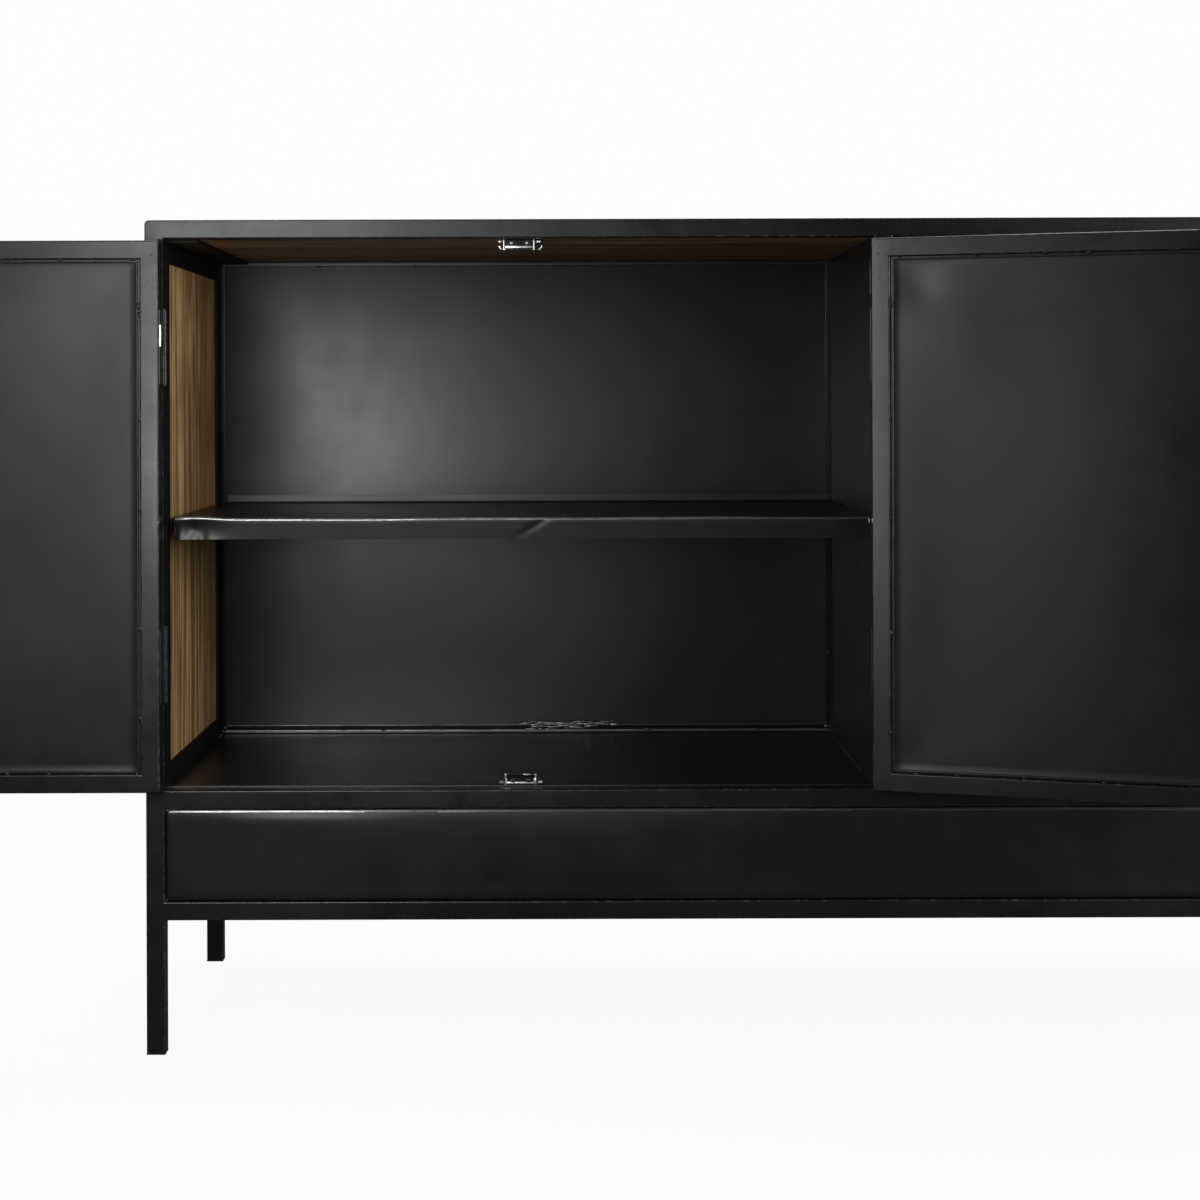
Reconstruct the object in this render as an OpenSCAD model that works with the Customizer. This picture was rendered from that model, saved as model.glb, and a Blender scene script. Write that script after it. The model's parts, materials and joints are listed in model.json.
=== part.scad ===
// Sideboard buffet: a welded square-tube steel frame on four legs, with steel
// sheet inside, timber on the top, the sides and the door faces, one shelf in
// each of two compartments, and two pairs of doors on butt hinges.
// X runs to the right, Y to the back and Z up. The origin is on the floor,
// under the middle of the cabinet.

/* [Overall] */
// Width of the cabinet
body_w = 1506; // [1200:1:1800]
// Depth of the cabinet
body_d = 400; // [340:1:460]
// Height of the cabinet
body_h = 850; // [760:1:950]

/* [Frame] */
// Outer size of the square tube
tube = 19; // [16:0.5:25]
// Wall thickness of the square tube
tube_wall = 1.5; // [1:0.1:2.5]
// Height of the bottom rails' underside above the floor
leg_clear = 136.5; // [100:0.5:180]
// Height of the middle rails' underside above the floor
mid_rail_z = 250; // [220:1:300]
// Thickness of a foot plug's visible flange
foot_h = 2; // [1:0.5:4]

/* [Sheet steel] */
// Thickness of the sheet
sheet = 1.2; // [0.8:0.1:2]
// Depth of the folded edge of the floor, fascia and back sheets
fold = 14; // [8:1:16]
// How far the fascia sheets lie behind the frame's outer faces
fascia_recess = 2; // [1:0.5:4]

/* [Timber] */
// Thickness of the top boards
top_board = 18; // [14:0.5:18]
// Number of boards across the top
top_boards = 3; // [2:1:5]
// Thickness of the side boards
side_board = 16; // [10:0.5:16]
// Width of each side's front board
side_board_front = 216; // [150:1:250]
// Thickness of the door boards
door_board = 12; // [8:0.5:13]
// Number of boards across each door
door_boards = 3; // [2:1:4]

/* [Doors] */
// Gap beside a door
door_gap = 3; // [2.6:0.1:5]
// Gap above a door
door_gap_top = 3.5; // [2:0.5:6]
// Gap below a door
door_gap_bottom = 2; // [1.5:0.5:5]
// How far the first door stands open
door_1_open = 180; // [0:1:190]
// How far the second door stands open
door_2_open = 162; // [0:1:165]
// Depth of the inner sheet below the door frame's inner face
door_sheet_recess = 3; // [1:0.5:5]
// Length of a pull between its feet
pull_span = 96; // [64:1:160]
// How far a pull stands out from the door
pull_out = 20; // [14:1:22]

/* [Hinges] */
// Height of a hinge
hinge_h = 75; // [50:1:100]
// Width of a hinge leaf
leaf_w = 17; // [12:0.5:18]
// Thickness of a hinge leaf
leaf_t = 1.2; // [0.8:0.1:1.25]
// Outer radius of a hinge knuckle
knuckle_r = 3.5; // [3:0.1:3.8]
// Radius of the hole through a knuckle
knuckle_bore_r = 1.8; // [1.5:0.05:2]
// Radial clearance of a hinge pin in its knuckles
pin_clear = 0.06; // [0.02:0.01:0.1]
// How far a hinge pin's axis stands in front of the frame
pin_proud = 4; // [4:0.1:6]
// Height of the lower hinges' centres
hinge_low_z = 398; // [350:1:420]
// Height of the upper hinges' centres
hinge_high_z = 720; // [600:1:760]

/* [Shelves] */
// Height of a shelf's top face
shelf_z = 545; // [450:1:650]
// Height of a shelf's folded front lip
shelf_lip = 22; // [15:0.5:30]
// Height of a shelf's upturned back edge
shelf_upstand = 5; // [2:0.5:10]
// Gap between a shelf's end and the frame's inner face
shelf_end_gap = 7.5; // [3:0.5:10]
// Distance from the frame's front face to a shelf's front edge
shelf_set_back = 22; // [20.5:0.5:40]

/* [Hidden] */

steel_color = "#2b2c2e";
sheet_color = "#333537";
timber_color = "#8a6a42";
zinc_color = "#b9bcbf";
plastic_color = "#1c1c1c";

$fn = 48;
// A cut reaches this far past the face that it opens.
past = 1;
// Pieces that are welded or laid side by side stay this far apart.
joint_gap = 0.1;
// Boards stay this far apart and clear of the frame.
board_gap = 0.5;
// A sheet stays this far clear of the frame around it.
sheet_gap = 0.3;

half_w = body_w / 2;
half_d = body_d / 2;
inner_x = half_w - tube;
inner_y = half_d - tube;
post_half = tube / 2;
top_z = body_h - tube;
mid_top_z = mid_rail_z + tube;
floor_z = mid_top_z + 1.5;
skin_x = post_half + sheet;

// Strips that hold the side boards
strip_t = inner_x - (half_w - side_board) < 0 ? tube - side_board : 3;
strip_front = 20;
strip_back = 28;
strip_high = 23;
strip_under = 32;

// Stops around the back sheet
stop = 5;
stop_low = 10;
back_y = inner_y + 0.5;

// Doors: two in each compartment, numbered from the left
room_w = inner_x - post_half;
door_w = (room_w - 3 * door_gap) / 2;
door_z0 = mid_top_z + door_gap_bottom;
door_z1 = top_z - door_gap_top;
door_h = door_z1 - door_z0;
hinge_side = door_gap / 2;
PIN_X = [-inner_x + hinge_side, -post_half - hinge_side, post_half + hinge_side, inner_x - hinge_side];
pin_y = -half_d - pin_proud;
RIGHT_HUNG = [false, true, false, true];
REST_ANGLE = [-door_1_open, door_2_open, 0, 0];
door_panel_gap = 0.4;
pull_r = 4;
pull_z = (door_z0 + door_z1) / 2;

// Hinges
HINGE_Z = [hinge_low_z, hinge_high_z];
knuckles = 5;
knuckle_h = hinge_h / knuckles;
knuckle_gap = 0.3;
pin_head_r = 2.6;
pin_head_h = 1.5;

// Magnetic catches
catch_w = 32;
catch_h = 11;
catch_d = 15;
catch_ear_w = 46;
catch_ear_t = 1.5;
catch_ear_d = 10;
catch_front_y = -inner_y + 1.2;
magnet_w = 11;
magnet_h = 7;
magnet_proud = 0.6;
screw_r = 1.7;
screw_head_r = 3;
screw_head_h = 1.6;
screw_len = 7;

// Shelf cleats
cleat = 18;
cleat_t = 2;
cleat_len = 280;

// ---- shared shapes ----

// Box given by two opposite corners
module box(low, high) {
    translate(low)
        cube(high - low);
}

// Square tube along X, Y or Z, given by the two opposite corners of its outer
// box. It is open at both ends.
module straight_tube(low, high, along) {
    ends = [for (i = [0:2]) i == along ? -past : tube_wall];
    difference() {
        box(low, high);
        box(low + ends, high - ends);
    }
}

// Square tube along X with both ends mitred at 45 degrees, long side at y = 0
module mitred_tube(length) {
    far = tube - tube_wall;
    difference() {
        linear_extrude(tube)
            polygon([[0, 0], [length, 0], [length - tube, tube], [tube, tube]]);
        translate([0, 0, tube_wall])
            linear_extrude(tube - 2 * tube_wall)
                polygon([
                    [tube_wall - past, tube_wall],
                    [length - tube_wall + past, tube_wall],
                    [length - far + past, far],
                    [far - past, far]
                ]);
    }
}

// Shallow tray of folded sheet, open towards -Z, with its top face at z = 0
module tray(width, depth, edge) {
    difference() {
        translate([0, 0, -edge])
            cube([width, depth, edge]);
        translate([sheet, sheet, -edge - past])
            cube([width - 2 * sheet, depth - 2 * sheet, edge + past - sheet]);
    }
}

// The same thing on both sides of the middle
module both_sides() {
    children();
    mirror([1, 0, 0])
        children();
}

// Copies of a piece at all four legs
module at_legs() {
    for (x = [-half_w, inner_x]) {
        for (y = [-half_d, inner_y]) {
            translate([x, y, 0])
                children();
        }
    }
}

// ---- frame ----

module post(x, y) {
    color(steel_color)
        straight_tube([x, y, foot_h], [x + tube, y + tube, top_z], 2);
}

module center_post() {
    color(steel_color)
        straight_tube([-post_half, -half_d, mid_top_z], [post_half, -inner_y, top_z], 2);
}

module top_rail_front() {
    color(steel_color)
        translate([-half_w, -half_d, top_z])
            mitred_tube(body_w);
}

module top_rail_back() {
    color(steel_color)
        mirror([0, 1, 0])
            translate([-half_w, -half_d, top_z])
                mitred_tube(body_w);
}

module top_rail_left() {
    color(steel_color)
        translate([-half_w, half_d, top_z])
            rotate([0, 0, -90])
                mitred_tube(body_d);
}

module top_rail_right() {
    color(steel_color)
        translate([half_w, -half_d, top_z])
            rotate([0, 0, 90])
                mitred_tube(body_d);
}

module long_rail(y, z) {
    color(steel_color)
        straight_tube([-inner_x, y, z], [inner_x, y + tube, z + tube], 0);
}

module side_rail(x, z) {
    color(steel_color)
        straight_tube([x, -inner_y, z], [x + tube, inner_y, z + tube], 1);
}

module divider_rails() {
    side_rail(-post_half, mid_rail_z);
    side_rail(-post_half, top_z - tube);
}

module foot_plugs() {
    stem_gap = tube_wall + 0.2;
    stem = tube - 2 * stem_gap;
    color(plastic_color)
        at_legs() {
            cube([tube, tube, foot_h]);
            translate([stem_gap, stem_gap, 0])
                cube([stem, stem, foot_h + 16]);
        }
}

// ---- timber ----

// A row of boards along X that fills a depth
module top_planks() {
    pitch = 2 * inner_y / top_boards;
    low = top_z + (tube - top_board) / 2;
    color(timber_color)
        for (i = [0:top_boards - 1]) {
            y = -inner_y + i * pitch;
            box(
                [-inner_x + board_gap, y + board_gap / 2, low],
                [inner_x - board_gap, y + pitch - board_gap / 2, low + top_board]
            );
        }
}

// The two upright boards of the left side
module side_planks() {
    seam = -inner_y + side_board_front;
    out = -half_w;
    color(timber_color) {
        box(
            [out, -inner_y + board_gap, mid_top_z + board_gap],
            [out + side_board, seam - board_gap / 2, top_z - board_gap]
        );
        box(
            [out, seam + board_gap / 2, mid_top_z + board_gap],
            [out + side_board, inner_y - board_gap, top_z - board_gap]
        );
    }
}

module side_planks_left() {
    side_planks();
}

module side_planks_right() {
    mirror([1, 0, 0])
        side_planks();
}

// Flat bars that frame the inner faces of the side boards, and one under each end of the top
module side_strips() {
    x0 = -inner_x - strip_t;
    z0 = mid_top_z;
    z1 = top_z;
    color(steel_color)
        both_sides() {
            box([x0, -inner_y, z0], [-inner_x, -inner_y + strip_front, z1]);
            box([x0, inner_y - strip_back, z0], [-inner_x, inner_y, z1]);
            for (z = [z0, z1 - strip_high]) {
                box(
                    [x0, -inner_y + strip_front + joint_gap, z],
                    [-inner_x, inner_y - strip_back - joint_gap, z + strip_high]
                );
            }
            box(
                [-inner_x + joint_gap, -inner_y + joint_gap, z1 - strip_t],
                [-inner_x + strip_under, inner_y - joint_gap, z1 - joint_gap]
            );
        }
}

// ---- sheet steel ----

module back_panel() {
    color(sheet_color)
        box(
            [-inner_x + sheet_gap, back_y + stop, mid_top_z + sheet_gap],
            [inner_x - sheet_gap, back_y + stop + sheet, top_z - sheet_gap]
        );
}

// Square bars around the back of each compartment
module back_stops() {
    x0 = -inner_x + joint_gap;
    x1 = -skin_x - joint_gap;
    y1 = back_y + stop - joint_gap;
    low = floor_z + joint_gap;
    high = top_z - joint_gap;
    color(steel_color)
        both_sides() {
            box([x0, back_y, low], [x0 + stop, y1, high]);
            box([x1 - stop, back_y, low], [x1, y1, high]);
            box([x0 + stop + joint_gap, back_y, low], [x1 - stop - joint_gap, y1, low + stop_low]);
            box([x0 + stop + joint_gap, back_y, high - stop], [x1 - stop - joint_gap, y1, high]);
        }
}

module divider_skin() {
    color(sheet_color)
        box([-skin_x, -inner_y, floor_z + joint_gap], [-post_half, back_y + stop - joint_gap, top_z]);
}

module divider_skin_left() {
    divider_skin();
}

module divider_skin_right() {
    mirror([1, 0, 0])
        divider_skin();
}

module floor_tray() {
    color(sheet_color)
        translate([-inner_x + sheet_gap, -inner_y + sheet_gap, floor_z])
            tray(room_w - 2 * sheet_gap, 2 * (inner_y - sheet_gap), fold);
}

module floor_left() {
    floor_tray();
}

module floor_right() {
    mirror([1, 0, 0])
        floor_tray();
}

// Tray that closes the space between a middle rail and a bottom rail, with
// its outer face towards -Y at y = 0
module fascia(width) {
    height = mid_rail_z - leg_clear - tube - 2 * sheet_gap;
    color(sheet_color)
        translate([-width / 2, 0, leg_clear + tube + sheet_gap])
            rotate([90, 0, 0])
                tray(width, height, fold);
}

module fascia_front() {
    translate([0, -half_d + fascia_recess, 0])
        fascia(2 * (inner_x - sheet_gap));
}

module fascia_back() {
    rotate([0, 0, 180])
        fascia_front();
}

module fascia_sides() {
    for (turn = [-90, 90]) {
        rotate([0, 0, turn])
            translate([0, -half_w + fascia_recess, 0])
                fascia(2 * (inner_y - sheet_gap));
    }
}

// ---- shelves ----

// Folded shelf of the left compartment: front lip down, back edge up
module shelf() {
    x0 = -inner_x + shelf_end_gap;
    x1 = -skin_x - 1.5;
    y0 = -half_d + shelf_set_back;
    y1 = back_y - 1;
    color(sheet_color)
        difference() {
            box([x0, y0, shelf_z - shelf_lip], [x1, y1, shelf_z + shelf_upstand]);
            box(
                [x0 - past, y0 - past, shelf_z],
                [x1 + past, y1 - sheet, shelf_z + shelf_upstand + past]
            );
            box(
                [x0 - past, y0 + sheet, shelf_z - shelf_lip - past],
                [x1 + past, y1 + past, shelf_z - sheet]
            );
        }
}

module shelf_left() {
    shelf();
}

module shelf_right() {
    mirror([1, 0, 0])
        shelf();
}

// Angle pieces under the ends of the shelves
module shelf_cleats() {
    top = shelf_z - sheet - joint_gap;
    color(steel_color)
        both_sides() {
            for (side = [0, 1]) {
                x = side == 0 ? -inner_x : -skin_x;
                way = side == 0 ? 1 : -1;
                translate([x, -cleat_len / 2, top])
                    rotate([90, 0, 180])
                        mirror([0, 1, 0])
                            linear_extrude(cleat_len)
                                polygon([
                                    [0, 0],
                                    [-way * cleat, 0],
                                    [-way * cleat, cleat_t],
                                    [-way * cleat_t, cleat_t],
                                    [-way * cleat_t, cleat],
                                    [0, cleat]
                                ]);
            }
        }
}

// ---- catches ----

// Copies of a catch's part at the middle of each compartment, under the top
// and, upside down, on the floor. The part's own origin is on the face that
// the catch is fixed to.
module at_catches() {
    for (side = [-1, 1]) {
        x = side * (inner_x + post_half) / 2;
        translate([x, catch_front_y, top_z - 0.2])
            children();
        translate([x, catch_front_y, floor_z])
            mirror([0, 0, 1])
                children();
    }
}

module catch_bodies() {
    color(zinc_color)
        at_catches()
            difference() {
                union() {
                    box([-catch_w / 2, 0, -catch_h], [catch_w / 2, catch_d, 0]);
                    box(
                        [-catch_ear_w / 2, 0, -catch_ear_t],
                        [catch_ear_w / 2, catch_ear_d, 0]
                    );
                }
                for (x = [-1, 1]) {
                    translate([x * (catch_w + catch_ear_w) / 4, catch_ear_d / 2, -catch_ear_t - past])
                        cylinder(r = screw_r + 0.2, h = catch_ear_t + 2 * past);
                    box(
                        [x * catch_w / 4 - magnet_w / 2, -past, -catch_h / 2 - magnet_h / 2],
                        [x * catch_w / 4 + magnet_w / 2, catch_d - 3, -catch_h / 2 + magnet_h / 2]
                    );
                }
            }
}

module catch_magnets() {
    slack = 0.15;
    color(plastic_color)
        at_catches()
            for (x = [-1, 1]) {
                box(
                    [
                        x * catch_w / 4 - magnet_w / 2 + slack,
                        -magnet_proud,
                        -catch_h / 2 - magnet_h / 2 + slack
                    ],
                    [
                        x * catch_w / 4 + magnet_w / 2 - slack,
                        catch_d - 3 - slack,
                        -catch_h / 2 + magnet_h / 2 - slack
                    ]
                );
            }
}

module catch_screws() {
    color(zinc_color)
        at_catches()
            for (x = [-1, 1]) {
                translate([x * (catch_w + catch_ear_w) / 4, catch_ear_d / 2, 0]) {
                    translate([0, 0, -catch_ear_t - screw_head_h - 0.05])
                        cylinder(r = screw_head_r, h = screw_head_h);
                    translate([0, 0, -catch_ear_t - 0.1])
                        cylinder(r = screw_r, h = catch_ear_t + 0.05);
                }
            }
}

// ---- hinges ----

// Places a door's part, which is drawn closed and left-hung, with its origin
// on the hinge pin's axis
module at_door(i) {
    translate([PIN_X[i - 1], pin_y, 0])
        rotate([0, 0, REST_ANGLE[i - 1]])
            hand(i)
                children();
}

// Turns a left-hung part into a right-hung one where the door needs it
module hand(i) {
    if (RIGHT_HUNG[i - 1])
        mirror([1, 0, 0])
            children();
    else
        children();
}

// One leaf with its knuckles, for a leaf that lies on the +X side of the pin.
// The knuckles are numbered from 0 at the bottom.
module leaf(first, last) {
    near = knuckle_bore_r + 0.1;
    x0 = hinge_side - leaf_t;
    difference() {
        union() {
            box([x0, pin_proud, -hinge_h / 2], [hinge_side, pin_proud + leaf_w, hinge_h / 2]);
            for (k = [first:2:last]) {
                z0 = -hinge_h / 2 + k * knuckle_h + (k == 0 ? 0 : knuckle_gap / 2);
                z1 = -hinge_h / 2 + (k + 1) * knuckle_h - (k == knuckles - 1 ? 0 : knuckle_gap / 2);
                translate([0, 0, z0])
                    cylinder(r = knuckle_r, h = z1 - z0);
                box([x0, near, z0], [hinge_side, pin_proud + past, z1]);
            }
        }
        translate([0, 0, -hinge_h / 2 - past])
            cylinder(r = knuckle_bore_r, h = hinge_h + 2 * past);
    }
}

// The leaves on the posts
module hinge_leaves() {
    color(steel_color)
        for (i = [1:4]) {
            for (z = HINGE_Z) {
                translate([PIN_X[i - 1], pin_y, z])
                    hand(i)
                        mirror([1, 0, 0])
                            leaf(0, knuckles - 1);
            }
        }
}

module hinge_pins() {
    color(steel_color)
        for (i = [1:4]) {
            for (z = HINGE_Z) {
                translate([PIN_X[i - 1], pin_y, z - hinge_h / 2]) {
                    translate([0, 0, -pin_head_h])
                        cylinder(r = knuckle_bore_r - pin_clear, h = hinge_h + 2 * pin_head_h);
                    for (end = [-pin_head_h - 0.1, hinge_h + 0.1]) {
                        translate([0, 0, end])
                            cylinder(r = pin_head_r, h = pin_head_h);
                    }
                }
            }
        }
}

module door_leaves(i) {
    color(steel_color)
        at_door(i)
            for (z = HINGE_Z) {
                translate([0, 0, z])
                    leaf(1, knuckles - 2);
            }
}

// ---- doors ----

// One bar of a door's frame, drawn along X with its outer side at y = 0 and
// its ends cut back a little so that the four bars stay separate solids
module door_bar(length) {
    translate([joint_gap, 0, 0])
        mitred_tube(length - 2 * joint_gap);
}

module door_frame(i) {
    color(steel_color)
        at_door(i)
            translate([hinge_side, pin_proud + tube, door_z0])
                rotate([90, 0, 0]) {
                    door_bar(door_w);
                    translate([door_w, door_h, 0])
                        rotate([0, 0, 180])
                            door_bar(door_w);
                    translate([0, door_h, 0])
                        rotate([0, 0, -90])
                            door_bar(door_h);
                    translate([door_w, 0, 0])
                        rotate([0, 0, 90])
                            door_bar(door_h);
                }
}

// Inner sheet: a tray whose folded edges come up to meet the frame
module door_sheet(i) {
    edge = door_sheet_recess;
    width = door_w - 2 * tube - 2 * door_panel_gap;
    height = door_h - 2 * tube - 2 * door_panel_gap;
    color(sheet_color)
        at_door(i)
            translate([
                hinge_side + tube + door_panel_gap,
                pin_proud + tube - edge - sheet,
                door_z0 + tube + door_panel_gap
            ])
                mirror([0, 1, 0])
                    rotate([90, 0, 0])
                        translate([0, 0, sheet])
                            mirror([0, 0, 1])
                                translate([0, 0, sheet])
                                    tray(width, height, edge + sheet);
}

// Outer boards, flush with the frame's outer face
module door_planks(i) {
    width = door_w - 2 * tube - 2 * board_gap;
    pitch = width / door_boards;
    z0 = door_z0 + tube + board_gap;
    z1 = door_z1 - tube - board_gap;
    color(timber_color)
        at_door(i)
            for (k = [0:door_boards - 1]) {
                x = hinge_side + tube + board_gap + k * pitch;
                box(
                    [x + (k == 0 ? 0 : board_gap / 2), pin_proud + 0.5, z0],
                    [x + pitch - (k == door_boards - 1 ? 0 : board_gap / 2), pin_proud + 0.5 + door_board, z1]
                );
            }
}

// Round bar pull on the free stile
module door_pull(i) {
    x = hinge_side + door_w - tube / 2;
    bar_y = pin_proud - pull_out + pull_r;
    color(steel_color)
        at_door(i)
            translate([x, 0, pull_z]) {
                translate([0, bar_y, -pull_span / 2 - 2 * pull_r])
                    cylinder(r = pull_r, h = pull_span + 4 * pull_r);
                for (z = [-pull_span / 2, pull_span / 2]) {
                    translate([0, pin_proud, z])
                        rotate([90, 0, 0])
                            cylinder(r = pull_r - 0.5, h = pull_out - pull_r);
                }
            }
}

post(-half_w, -half_d);  // post_front_left
post(inner_x, -half_d);  // post_front_right
post(-half_w, inner_y);  // post_back_left
post(inner_x, inner_y);  // post_back_right
center_post();
top_rail_front();
top_rail_back();
top_rail_left();
top_rail_right();
long_rail(-half_d, mid_rail_z);  // mid_rail_front
long_rail(inner_y, mid_rail_z);  // mid_rail_back
side_rail(-half_w, mid_rail_z);  // mid_rail_left
side_rail(inner_x, mid_rail_z);  // mid_rail_right
long_rail(-half_d, leg_clear);  // bottom_rail_front
long_rail(inner_y, leg_clear);  // bottom_rail_back
side_rail(-half_w, leg_clear);  // bottom_rail_left
side_rail(inner_x, leg_clear);  // bottom_rail_right
divider_rails();
foot_plugs();
top_planks();
side_planks_left();
side_planks_right();
side_strips();
back_panel();
back_stops();
divider_skin_left();
divider_skin_right();
floor_left();
floor_right();
fascia_front();
fascia_back();
fascia_sides();
shelf_left();
shelf_right();
shelf_cleats();
catch_bodies();
catch_magnets();
catch_screws();
hinge_leaves();
hinge_pins();
door_frame(1);  // door_1_frame
door_sheet(1);  // door_1_sheet
door_planks(1);  // door_1_planks
door_leaves(1);  // door_1_leaves
door_pull(1);  // door_1_pull
door_frame(2);  // door_2_frame
door_sheet(2);  // door_2_sheet
door_planks(2);  // door_2_planks
door_leaves(2);  // door_2_leaves
door_pull(2);  // door_2_pull
door_frame(3);  // door_3_frame
door_sheet(3);  // door_3_sheet
door_planks(3);  // door_3_planks
door_leaves(3);  // door_3_leaves
door_pull(3);  // door_3_pull
door_frame(4);  // door_4_frame
door_sheet(4);  // door_4_sheet
door_planks(4);  // door_4_planks
door_leaves(4);  // door_4_leaves
door_pull(4);  // door_4_pull
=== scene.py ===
"""Looks of the sideboard buffet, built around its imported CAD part.

Everything is in metres, in the part's own frame: X to the right, Y to the back,
Z up, with the origin on the floor under the middle of the cabinet.
"""
import collections
import itertools
import json
import random
from math import cos, exp, pi, radians, sin

import bmesh
import bpy
from mathutils import Matrix, Vector, noise


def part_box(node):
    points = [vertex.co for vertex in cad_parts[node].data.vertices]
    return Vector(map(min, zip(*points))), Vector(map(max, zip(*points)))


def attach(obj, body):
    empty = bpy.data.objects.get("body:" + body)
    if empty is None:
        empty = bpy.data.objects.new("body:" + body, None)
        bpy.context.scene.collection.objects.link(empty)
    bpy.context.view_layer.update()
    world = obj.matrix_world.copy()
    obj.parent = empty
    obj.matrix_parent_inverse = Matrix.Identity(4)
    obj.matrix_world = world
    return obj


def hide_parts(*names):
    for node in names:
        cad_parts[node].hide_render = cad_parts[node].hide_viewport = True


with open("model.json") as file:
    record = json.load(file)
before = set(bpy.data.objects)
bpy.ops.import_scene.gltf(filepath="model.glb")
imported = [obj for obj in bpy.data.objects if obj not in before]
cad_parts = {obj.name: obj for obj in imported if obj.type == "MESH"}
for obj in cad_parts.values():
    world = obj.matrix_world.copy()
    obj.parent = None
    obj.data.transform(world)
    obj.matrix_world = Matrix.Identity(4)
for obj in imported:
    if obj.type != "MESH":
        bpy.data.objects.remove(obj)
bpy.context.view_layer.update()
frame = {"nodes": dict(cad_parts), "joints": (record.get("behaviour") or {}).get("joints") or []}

MM = 0.001

# Sizes read from the frame
POST_LOW, POST_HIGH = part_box("post_front_left")
TUBE = POST_HIGH.x - POST_LOW.x
FRONT_Y = POST_LOW.y
HALF_W = -POST_LOW.x
INNER_X = HALF_W - TUBE
INNER_Y = -FRONT_Y - TUBE
BODY_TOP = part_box("top_rail_front")[1].z
TOP_RAIL_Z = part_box("top_rail_front")[0].z
MID_RAIL_LOW, MID_RAIL_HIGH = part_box("mid_rail_front")
BOTTOM_RAIL_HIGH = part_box("bottom_rail_front")[1]
SHEET = 1.2 * MM

# How far each door stands open at rest; the even doors hang on their right
REST_ANGLE = {1: -180, 2: 162, 3: 0, 4: 0}
DOORS = (1, 2, 3, 4)
PIN = {i: Vector(j["pos_m"]) for i, j in zip(DOORS, frame["joints"])}

# Roundings
TUBE_RADIUS = 1.7 * MM
CORNER_RADIUS = 4.5 * MM
SHARP = radians(35)


# ---- materials

class Shader:
    """A node material under construction, with coordinates in the part's frame."""

    def __init__(self, name):
        self.material = bpy.data.materials.new(name)
        self.material.use_nodes = True
        self.tree = self.material.node_tree
        self.bsdf = self.tree.nodes["Principled BSDF"]
        self.coords = self.add("ShaderNodeTexCoord").outputs["Object"]

    def add(self, kind, settings=None, **inputs):
        """A new node. Inputs are values or other nodes' outputs; _ stands for a space."""
        node = self.tree.nodes.new(kind)
        for key, value in (settings or {}).items():
            setattr(node, key, value)
        for key, value in inputs.items():
            socket = int(key[1:]) if key[1:].isdigit() else key.replace("_", " ")
            self.feed(node.inputs[socket], value)
        return node

    def feed(self, socket, value):
        if isinstance(value, bpy.types.NodeSocket):
            self.tree.links.new(value, socket)
        else:
            socket.default_value = value

    def set(self, **inputs):
        """Sets or links the surface shader's own sockets."""
        for key, value in inputs.items():
            self.feed(self.bsdf.inputs[key.replace("_", " ")], value)

    def stretched(self, x, y, z, shift=None):
        """The coordinates scaled along each axis, moved by shift if there is one."""
        start = self.coords
        if shift is not None:
            start = self.add("ShaderNodeVectorMath", {"operation": "ADD"}, i0=start, i1=shift).outputs[0]
        return self.add("ShaderNodeMapping", i0=start, Scale=(x, y, z)).outputs[0]

    def noise(self, scale, detail=4.0, roughness=0.55, vector=None, distortion=0.0):
        node = self.add(
            "ShaderNodeTexNoise",
            Vector=self.coords if vector is None else vector,
            Scale=scale,
            Detail=detail,
            Roughness=roughness,
            Distortion=distortion,
        )
        return node.outputs[0]

    def xyz(self):
        return self.add("ShaderNodeSeparateXYZ", Vector=self.coords).outputs

    def math(self, operation, first, second=0.0):
        return self.add("ShaderNodeMath", {"operation": operation}, i0=first, i1=second).outputs[0]

    def product(self, first, second):
        return self.math("MULTIPLY", first, second)

    def away(self, value, place=0.0):
        """How far a value is from a place, either way."""
        return self.math("ABSOLUTE", self.math("SUBTRACT", value, place))

    def remap(self, value, low, high, to_low, to_high):
        return self.add("ShaderNodeMapRange", i0=value, i1=low, i2=high, i3=to_low, i4=to_high).outputs[0]

    def blend(self, share, first, second):
        """Colours mixed by share."""
        node = self.add("ShaderNodeMix", {"data_type": "RGBA"}, i0=share)
        self.feed(node.inputs[6], first)
        self.feed(node.inputs[7], second)
        return node.outputs[2]

    def ramp(self, value, stops):
        """Colour ramp with (place, colour) stops."""
        node = self.add("ShaderNodeValToRGB", Fac=value)
        ramp = node.color_ramp
        ramp.elements[0].position, ramp.elements[0].color = stops[0]
        ramp.elements[1].position, ramp.elements[1].color = stops[-1]
        for place, colour in stops[1:-1]:
            ramp.elements.new(place).color = colour
        return node.outputs[0]

    def bump(self, height, distance, normal=None):
        node = self.add("ShaderNodeBump", Height=height, Distance=distance, Strength=1.0)
        if normal is not None:
            self.feed(node.inputs["Normal"], normal)
        return node.outputs[0]


def grey(level, blue=0.0):
    return (level, level * (1 + blue / 2), level * (1 + blue), 1.0)


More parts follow.
